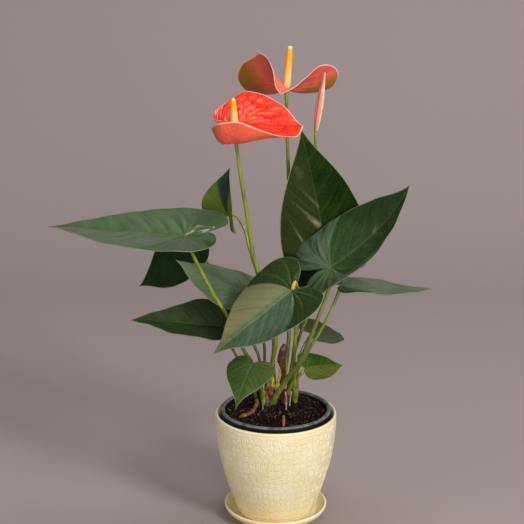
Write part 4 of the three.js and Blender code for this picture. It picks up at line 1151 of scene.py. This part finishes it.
def spathe_piece(name, spathe, material, steps=110, rings=60):
    """One open spathe: rays from the knee to the edge curve, sagging by 4 t (1 - t) times the
    edge's depth, raised along the normal by the blisters and a wave near the edge."""
    knee, tip = (*spathe["knee"], 0), (*spathe["tip"], 0)
    left = catmull_rom([knee, *spathe["left"], tip], steps + 1)[1:]
    right = catmull_rom([knee, *spathe["right"], tip], steps + 1)[1:]
    rim = np.vstack([left, right[-2::-1]])
    hang = unit(np.array(spathe["hang"], float))
    t = np.linspace(0, 1, rings + 1)[:, None, None]
    rays = rim[None, :, :3] - np.array(spathe["knee"], float)
    grid = spathe["knee"] + t * rays + 4 * t * (1 - t) * rim[None, :, 3:] * hang
    share = np.linspace(0, 1, steps)
    share = np.concatenate([share, share[-2::-1]])[None, :]
    t = t[..., 0]
    half_turn = np.sign(np.arange(2 * steps - 1) - steps + 0.5)[None, :]
    phase = RAYS * (share + 0.16 * np.sin(np.pi * t) * (1 - share)) + 40 * (half_turn > 0)
    cross = CELLS * t + 0.8 * np.sin(4.0 * share * np.pi)
    dome = blisters(phase, cross, len(name))
    rest = np.sin(np.pi * np.clip(t, 0, 1))**0.5 * (1 - share**12)
    rest = rest * np.where(half_turn < 0, *spathe["swell"])
    around = np.gradient(grid, axis=1)
    normal = unit(np.cross(around, np.gradient(grid, axis=0)))
    normal[0] = 0
    wave = 0.4 * t**6 * np.sin(10 * np.pi * share)
    grid = grid + normal * (BLISTER_HEIGHT * dome * rest + wave)[..., None]
    points, faces = fan_sheet(grid, SPATHE_THICKNESS)
    reach = t * np.linalg.norm(rays, axis=2)
    flat = fan_vectors(reach * np.cos(share * np.pi), reach * np.sin(share * np.pi)) * MM
    # painted shade inside, towards the notch
    deep = spathe["deep"] * smooth_step(share, 0.34, 0.10) * smooth_step(t, 0.25, 0.65)
    # vein: the blisters' height, which the skin turns into painted highlight and shade
    floats = {"vein": fan_values(dome * rest**0.3), "deep": fan_values(deep),
              "margin": fan_values(t + 0 * reach), "under": which_side(len(points))}
    x, z = points[:, 0] - spathe["knee"][0], points[:, 2] - spathe["knee"][2]
    washes = [smooth_step(side * x + up * z, low, high) for side, up, low, high in spathe["wash"]]
    floats["wash"] = np.where(x < 0, *washes)
    make_piece(name + "_sheet", points, faces, material, [name], floats, {"flat": flat})


def line_rings(start, end, radii, count):
    """Centres and radii along a straight body, closer together to its top, where the radius
    falls as a quarter circle, sqrt(1 - (1 - s)^2), over the last radius of its length."""
    start, end = np.array(start, float), np.array(end, float)
    t = 1 - (1 - np.linspace(0, 1, count))**1.25
    centres = start + t[:, None] * (end - start)
    spread = np.interp(t, np.linspace(0, 1, len(radii)), radii)
    near_end = np.clip((1 - t) * np.linalg.norm(end - start) / radii[-1], 0, 1)
    return centres, spread * np.sqrt(1 - (1 - near_end)**2 + 1e-4), t


def spadix_piece(name, body, material):
    """A beaded spike: small flowers stand between two crossing sets of spiral grooves, as
    |sin(4 angle + climb / 2) sin(4 angle - climb / 2)|, with climb / 2 = pi height / pitch."""
    sides = 72
    centres, radii, t = line_rings(*body, 150)
    turn = circle(sides)
    length = np.linalg.norm(np.subtract(body[1], body[0]))
    climb = (t * length)[:, None] * 2 * np.pi / SPADIX_PITCH
    grain = np.abs(np.sin(4 * turn + climb / 2) * np.sin(4 * turn - climb / 2))
    shape = 1 + SPADIX_RELIEF * grain**0.6
    points, faces = ring_tube(centres, radii, sides, shape)
    # painted shade mask: 1 deep in the grooves between the flowers
    hollow_shade = np.append((1 - grain**0.5).ravel(), [0, 0])
    make_piece(name + "_spike", points, faces, material, [name],
               {"along": tube_values(t, sides), "grain": hollow_shade})


def rolled_piece():
    """The closed spathe: wound round itself, so its radius grows with the angle from one
    edge, which runs up it as a low step, highest halfway."""
    sides = 96
    centres, radii, t = line_rings(*ROLLED_SPATHE, 110)
    from_edge = np.mod(circle(sides) - ROLL_EDGE + 0.2 * t[:, None], 2 * np.pi) / (2 * np.pi)
    shape = 0.92 + 0.16 * np.clip(from_edge * 1.15, 0, 1) * (0.4 + 0.6 * np.sin(np.pi * t))[:, None]
    points, faces = ring_tube(centres, radii, sides, shape)
    edge = np.append(bell(from_edge - 0.27, 0.05).ravel(), [0, 0])
    shade = np.append(bell(from_edge - 0.02, 0.03).ravel(), [0, 0])
    make_piece("spathe_c_roll", points, faces, bud_material(), ["spathe_c"],
               {"along": tube_values(t, sides), "edge": edge, "shade": shade})


# ------------------------------------------------------------ stems, roots and sheaths

def stem_piece(name, stem, material):
    """A round stem along a smooth curve: its radius goes evenly from foot to top, times bells
    that swell the knee and the foot, and a shallow groove and nine faint ribs run along it."""
    (x, y), (foot_radius, top_radius), via = stem
    path = [(x, y, STEM_FOOT), (x, y, 118), (x, y, STEM_FREE), *via]
    count, sides = 110, 20
    centres = catmull_rom(path, count)
    t = np.linspace(0, 1, count)
    length = np.linalg.norm(np.diff(centres, axis=0), axis=1).sum()
    to_top, height = (1 - t) * length, centres[:, 2]
    radii = foot_radius + (top_radius - foot_radius) * t
    radii = radii * (1 + STEM_SWELL * bell(to_top - 6, 6)
                     + STEM_SWELL * bell(height - STEM_FREE, 12))
    turn = circle(sides)
    shape = 1 - 0.05 * bell(turn - np.pi, 0.5) + 0.012 * np.sin(9 * turn)
    points, faces = ring_tube(centres, radii, sides, shape + 0 * t[:, None])
    # how far the stem is darkened by painted shade at its foot and top
    low_shade, high_shade = STEM_SHADE.get(name, (0.2, 0.1))
    floats = {"along": t, "height": height,
              "tone": low_shade + (high_shade - low_shade) * smooth_step(t, 0.3, 0.7),
              "gold": KNEE_GOLD.get(name, 0.0) * smooth_step(to_top, 22, 10)}
    make_piece(name + "_stem", points, faces, material, [name],
               {key: tube_values(values, sides) for key, values in floats.items()})


def small_piece(name, part, material):
    """A root, sheath or stub with a knobbly skin, its radius times one plus two sine waves."""
    count, sides = 70, 16
    centres = catmull_rom(part["via"], count)
    t = np.linspace(0, 1, count)[:, None]
    radii = np.interp(t[:, 0], np.linspace(0, 1, len(part["radii"])), part["radii"])
    radii = radii * np.clip(14 * (1 - t[:, 0]), 0.2, 1)**0.5
    turn = circle(sides)
    seed = float(len(name) + part["radii"][0])
    shape = 1 + part["knobs"] * (0.6 * np.sin(17 * t + 2 * turn + seed) * np.sin(9 * t + seed)
                                 + 0.4 * np.sin(3 * turn - 23 * t + seed))
    points, faces = ring_tube(centres, radii, sides, shape)
    make_piece(name + "_fine", points, faces, material, [name])


def bract_piece(name, foot, height, radius, turn, span, lean, material):
    """A pointed sheath that clasps a stem: a sector of a widening tube whose half span is
    span (1 - u^2.2)^0.7 at the share u of its height, and which leans as u^2."""
    rows, columns = 40, 26
    u, v = np.meshgrid(np.linspace(0, 1, rows), np.linspace(-1, 1, columns), indexing="ij")
    angle = math.radians(turn) + v * math.radians(span) * (1 - u**2.2)**0.7
    wide = radius * (1 + 0.5 * u * (1 - u) * 2 + 0.15 * u**3)
    outer = np.stack([foot[0] + lean[0] * u**2 + wide * np.cos(angle),
                      foot[1] + lean[1] * u**2 + wide * np.sin(angle),
                      foot[2] + height * u], axis=2)
    inward = np.stack([-np.cos(angle), -np.sin(angle), 0 * u], axis=2)
    points = np.stack([outer, outer + BRACT_THICKNESS * inward], axis=2).reshape(-1, 3)
    index = 2 * np.arange(rows * columns).reshape(rows, columns)
    a, b = index[:-1, :-1].ravel(), index[:-1, 1:].ravel()
    c, d = index[1:, 1:].ravel(), index[1:, :-1].ravel()
    front = split(a, b, c, d)
    loop = np.concatenate([index[0, :], index[1:, -1], index[-1, -2::-1], index[-2:0:-1, 0]])
    after = np.roll(loop, -1)
    walls = split(after, loop, loop + 1, after + 1)
    make_piece(name, points, np.vstack([front, front[:, ::-1] + 1, walls]), material)


# ------------------------------------------------------------ pots and peat

def smooth_profile(profile, count):
    """More points on a profile, rounded only as much as its own corners allow."""
    return catmull_rom([(r, z, 0) for r, z in profile], count)[:, :2]


def stroke_relief(around, up, cell, pitch):
    """Short curved strokes in all directions, as arrays over the wall. The wall is shared
    out among jittered points; round each, parallel arcs (sine of distance over pitch, with
    the distance bent by its square) run their own way and fade at the cell's edge."""
    columns, rows = round(2 * np.pi * RIM_RADIUS / cell), math.ceil(up.max() / cell) + 1
    jitter = rng.random((rows + 2, columns, 4))
    wide = 2 * np.pi * RIM_RADIUS / columns
    i, j = np.floor(around / wide).astype(int), np.floor(up / cell).astype(int)
    nearest, second = np.full(around.shape, 1e9), np.full(around.shape, 1e9)
    height = np.zeros(around.shape)
    for di in (-1, 0, 1):
        for dj in (-1, 0, 1):
            draw = jitter[np.clip(j + dj, -1, rows) + 1, (i + di) % columns]
            x = around - jittered(i + di, draw[..., 0]) * wide
            z = up - jittered(j + dj, draw[..., 1]) * cell
            away = np.hypot(x, z)
            turn = np.pi * 2 * draw[..., 2]
            along = x * np.cos(turn) + z * np.sin(turn)
            across = z * np.cos(turn) - x * np.sin(turn)
            phase = (along + 0.012 * across**2) / (pitch * (0.8 + 0.5 * draw[..., 3]))
            ridge = (0.5 + 0.5 * np.sin(2 * np.pi * phase))**1.4
            second = np.minimum(second, np.maximum(away, nearest))
            height = np.where(away < nearest, ridge, height)
            nearest = np.minimum(nearest, away)
    return height * np.clip((second - nearest) / 2.2, 0.12, 1)


def cover_pot(glaze):
    """The cover pot's profile turned about the axis, round a hole in its base. The outside is
    dense enough to carry the strokes, which add to its radius; the inside is plain."""
    outside = smooth_profile(POT_OUTSIDE, POT_ROWS)
    inside = smooth_profile(POT_INSIDE, 14)
    body = np.vstack([[(DRAIN_RADIUS, POT_BASE)], outside, inside, [(DRAIN_RADIUS, POT_FLOOR)]])
    turn = circle(POT_SIDES)
    around, up = turn * RIM_RADIUS + 0 * outside[:, 1:], outside[:, 1:] + 0 * turn
    plain = 1 - smooth_step(up, *STROKE_BAND[2:])
    plain = plain * smooth_step(up, *STROKE_BAND[:2])
    strokes = stroke_relief(around, up, STROKE_CELL, STROKE_PITCH) * plain
    relief, hollow_shade = np.zeros((len(body), POT_SIDES)), np.zeros((len(body), POT_SIDES))
    relief[1:1 + POT_ROWS] = STROKE_DEPTH * strokes
    # painted shade in the hollows between the strokes' ridges
    hollow_shade[1:1 + POT_ROWS] = (1 - strokes)**2 * plain
    points, faces = turned(body, POT_SIDES, relief)
    # the cover pot takes half of the painted saucer reflection at its foot
    make_piece("cover_pot_fine", points, faces, glaze_material("pot_glaze", glaze, 0.5),
               ["cover_pot"], {"hollow_shade": hollow_shade})


def saucer(glaze):
    """The saucer's rounded profile turned about the axis."""
    dish = np.vstack([SAUCER_PROFILE[:1], smooth_profile(SAUCER_PROFILE[1:-1], 90),
                      SAUCER_PROFILE[-1:]])
    points, faces = turned(dish, 240)
    # the saucer takes a tenth of the same painted reflection
    make_piece("saucer_fine", points, faces, glaze_material("saucer_glaze", glaze, 0.1),
               ["saucer"], {"hollow_shade": np.zeros(len(points))})


def grow_pot():
    """The grow pot's profile turned about the axis, rounded where it folds over at the rim."""
    inner = np.vstack([GROW_PROFILE[:4], smooth_profile(GROW_PROFILE[4:13], 60),
                       GROW_PROFILE[13:]])
    points, faces = turned(inner, 200)
    make_piece("grow_pot_fine", points, faces, grow_pot_material(), ["grow_pot"])


def soil_height(x, y):
    """Level at the wall, a mound height exp(-d^2 / (2 spread^2)) under the crown, and an
    uneven, crumbly surface from sine waves."""
    away = (x - MOUND_CENTRE[0])**2 + (y - MOUND_CENTRE[1])**2
    mound = MOUND_HEIGHT * np.exp(-away / (2 * MOUND_SPREAD**2))
    rough = 0.8 * (np.sin(0.31 * x + 1.7) * np.cos(0.27 * y) + np.sin(0.17 * x - 0.23 * y))
    for k, (dx, dy) in enumerate(LUMPS):
        rough = rough + (0.55 / (1 + 0.5 * k)) * np.sin(dx * x + dy * y + 1.3 * k)
    return SOIL_EDGE + mound + SOIL_TWIST * x * y / 4096 + rough


def soil():
    """The top of the peat: a polar grid at soil_height, closed by a wall that leans in and a
    flat underside inside the grow pot."""
    rows, sides = 90, 260
    reach = np.linspace(0.004, 1, rows)[:, None] * SOIL_RADIUS
    turn = circle(sides)
    x, y = reach * np.cos(turn), reach * np.sin(turn)
    top = np.stack([x, y, soil_height(x, y)], axis=2)
    low = top[-1:] * (0.9, 0.9, 0) + (0, 0, SOIL_UNDERSIDE)
    rings = np.vstack([top, low])
    index = np.arange(rings.shape[0] * sides).reshape(-1, sides)
    following = np.roll(index, -1, axis=1)
    a, b = index[:-1].ravel(), index[1:].ravel()
    c, d = following[1:].ravel(), following[:-1].ravel()
    faces = np.vstack([split(a, b, c, d), cap(index.size, index[0], following[0]),
                       cap(index.size + 1, following[-1], index[-1])])
    points = np.vstack([rings.reshape(-1, 3), (0, 0, soil_height(0.0, 0.0)),
                        (0, 0, SOIL_UNDERSIDE)])
    make_piece("soil_fine", points, faces, peat_material(), ["soil"])


def scattered(count):
    """Random places on the peat, as dense at the wall as in the middle."""
    reach = SOIL_RADIUS * 0.97 * np.sqrt(rng.random(count))
    turn = rng.random(count) * 2 * np.pi
    x, y = reach * np.cos(turn), reach * np.sin(turn)
    return np.stack([x, y, soil_height(x, y)], 1)


def random_turns(count):
    """Random rotation matrices, from random unit quaternions."""
    q = rng.normal(size=(count, 4))
    w, x, y, z = (q / np.linalg.norm(q, axis=1, keepdims=True)).T
    return np.stack([1 - 2 * (y * y + z * z), 2 * (x * y - w * z), 2 * (x * z + w * y),
                     2 * (x * y + w * z), 1 - 2 * (x * x + z * z), 2 * (y * z - w * x),
                     2 * (x * z - w * y), 2 * (y * z + w * x), 1 - 2 * (x * x + y * y)],
                    1).reshape(-1, 3, 3)


def peat_bits(grain):
    """Loose crumbs: twelve-cornered lumps, stretched and turned at random."""
    g = (1 + 5**0.5) / 2
    corners = unit(np.array([(-1, g, 0), (1, g, 0), (-1, -g, 0), (1, -g, 0), (0, -1, g),
                             (0, 1, g), (0, -1, -g), (0, 1, -g), (g, 0, -1), (g, 0, 1),
                             (-g, 0, -1), (-g, 0, 1)], float))
    sides = np.array([(0, 11, 5), (0, 5, 1), (0, 1, 7), (0, 7, 10), (0, 10, 11), (1, 5, 9),
                      (5, 11, 4), (11, 10, 2), (10, 7, 6), (7, 1, 8), (3, 9, 4), (3, 4, 2),
                      (3, 2, 6), (3, 6, 8), (3, 8, 9), (4, 9, 5), (2, 4, 11), (6, 2, 10),
                      (8, 6, 7), (9, 8, 1)])
    for name, (count, biggest, dark, light) in PEAT_BITS.items():
        size = biggest * (0.3 + 0.7 * rng.random((count, 1, 1))**2)
        stretch = size * (0.45 + 0.8 * rng.random((count, 1, 3)))
        lumps = corners * stretch * (0.8 + 0.4 * rng.random((count, 12, 1)))
        lumps = np.einsum("nij,nkj->nki", random_turns(count), lumps)
        points = lumps + scattered(count)[:, None, :] + (0, 0, 0.2)
        faces = sides[None] + 12 * np.arange(count)[:, None, None]
        make_piece(name, points, faces,
                   plain_material(name + "_skin", grain, dark, light, 0.85))


def peat_fibres(grain):
    """Fine bent fibres and rootlets lying on the peat, each a thin tube on a parabola."""
    places = scattered(FIBRE_COUNT)
    turn = rng.random(FIBRE_COUNT) * 2 * np.pi
    length = 2.5 + 6 * rng.random(FIBRE_COUNT)
    parts, faces, used = [], [], 0
    for place, angle, long in zip(places, turn, length):
        s = np.linspace(-0.5, 0.5, 8) * long
        x = place[0] + s * math.cos(angle) + 0.04 * s**2
        y = place[1] + s * math.sin(angle)
        inside = np.minimum(1, 0.96 * SOIL_RADIUS / np.hypot(x, y))
        x, y = x * inside, y * inside
        z = soil_height(x, y) + 0.9 - 0.05 * s**2
        points, tube_faces = ring_tube(np.stack([x, y, z], 1), FIBRE_RADIUS * np.ones(8), 5)
        parts.append(points)
        faces.append(tube_faces + used)
        used += len(points)
    skin = plain_material("fibre_skin", grain, *FIBRE_COLOURS, 0.7)
    make_piece("peat_fibres", np.vstack(parts), np.vstack(faces), skin)


# ------------------------------------------------------------ stage

def backdrop():
    """A sheet swept along x: a level floor, a quarter circle and a wall."""
    turn = np.linspace(0, np.pi / 2, 24)
    level = [(-FLOOR_REACH, 0.0), (SWEEP_START, 0.0)]
    bend_up = np.stack([SWEEP_START + SWEEP_RADIUS * np.sin(turn[1:]),
                        SWEEP_RADIUS * (1 - np.cos(turn[1:]))], 1)
    line = np.vstack([level, bend_up, [(SWEEP_START + SWEEP_RADIUS, WALL_HEIGHT)]])
    left = np.stack([0 * line[:, 0] - FLOOR_REACH, line[:, 0], line[:, 1] - 0.0005], 1)
    right = left * (-1, 1, 1)
    count = len(line)
    faces = [(i, i + count, i + count + 1, i + 1) for i in range(count - 1)]
    mesh = bpy.data.meshes.new("floor")
    mesh.from_pydata(np.vstack([left, right]).tolist(), [], faces)
    mesh.polygons.foreach_set("use_smooth", np.ones(len(faces), bool))
    material, tree, shader = new_material("floor_paint")
    dress(tree, shader, FLOOR_COLOUR, Roughness=0.8)
    mesh.materials.append(material)
    floor = add_object("floor", mesh)


def studio_lights():
    """Each light is a square panel that looks at the middle of the plant."""
    for name, (place, size, power) in LIGHTS.items():
        light = bpy.data.lights.new(name, "AREA")
        light.size, light.energy = size, power
        lamp = add_object(name, light)
        lamp.location = place
        aim = np.array(LIGHT_AIM) - np.array(place)
        lamp.rotation_euler = (math.atan2(np.hypot(aim[0], aim[1]), -aim[2]), 0,
                               math.atan2(-aim[0], aim[1]))
    world = bpy.data.worlds.new("studio")
    world.use_nodes = True
    sky = world.node_tree.nodes["Background"]
    sky.inputs["Color"].default_value = (*SKY_COLOUR, 1)
    sky.inputs["Strength"].default_value = WORLD_LIGHT
    bpy.context.scene.world = world
    bpy.context.scene.view_settings.view_transform = "Standard"


def camera():
    """A long lens in front of the plant, turned and tilted a little."""
    lens = bpy.data.cameras.new("camera")
    lens.lens, lens.sensor_width = CAMERA_LENS, 36.0
    eye = add_object("camera", lens)
    eye.location = CAMERA_PLACE
    eye.rotation_euler = (math.radians(90 - CAMERA_PITCH), 0, math.radians(CAMERA_TURN))
    bpy.context.scene.camera = eye


# ------------------------------------------------------------ the whole plant

def build():
    """Every piece with its material, from the pots up, and the stage."""
    camera()
    glaze, grain = glaze_group(), grain_group()
    cover_pot(glaze)
    saucer(glaze)
    grow_pot()
    soil()
    peat_bits(grain)
    peat_fibres(grain)
    net = net_group()
    skin = leaf_group(net)
    for name, leaf in LEAVES.items():
        leaf_piece(name, LEAF_FORM | leaf, LEAF_LOOK | LEAF_LOOKS[name], skin)
    stems = stem_material()
    for name, stem in {**PETIOLES, **STALKS}.items():
        stem_piece(name, stem, stems)
    petal = spathe_group(net)
    red = spathe_material("spathe_red_skin", petal, RED_SPATHE, 0.36, 0.35)
    brown = spathe_material("spathe_brown_skin", petal, BROWN_SPATHE, 0.42, 0.25)
    spathe_piece("spathe_a", SPATHES["spathe_a"], red)
    spathe_piece("spathe_b", SPATHES["spathe_b"], brown)
    yellow = spadix_material()
    for name, body in SPADICES.items():
        spadix_piece(name, body, yellow)
    rolled_piece()
    skins = {key: plain_material(key + "_skin", grain, *look[:3])
             for key, look in SMALL_LOOKS.items()}
    for name, part in SMALL_PARTS.items():
        small_piece(name, part, skins[part["look"]])
    for name, (foot, height, radius, turn, span, lean, look) in BRACTS.items():
        bract_piece(name, foot, height, radius, turn, span, lean, skins[look])
    backdrop()
    studio_lights()


build()
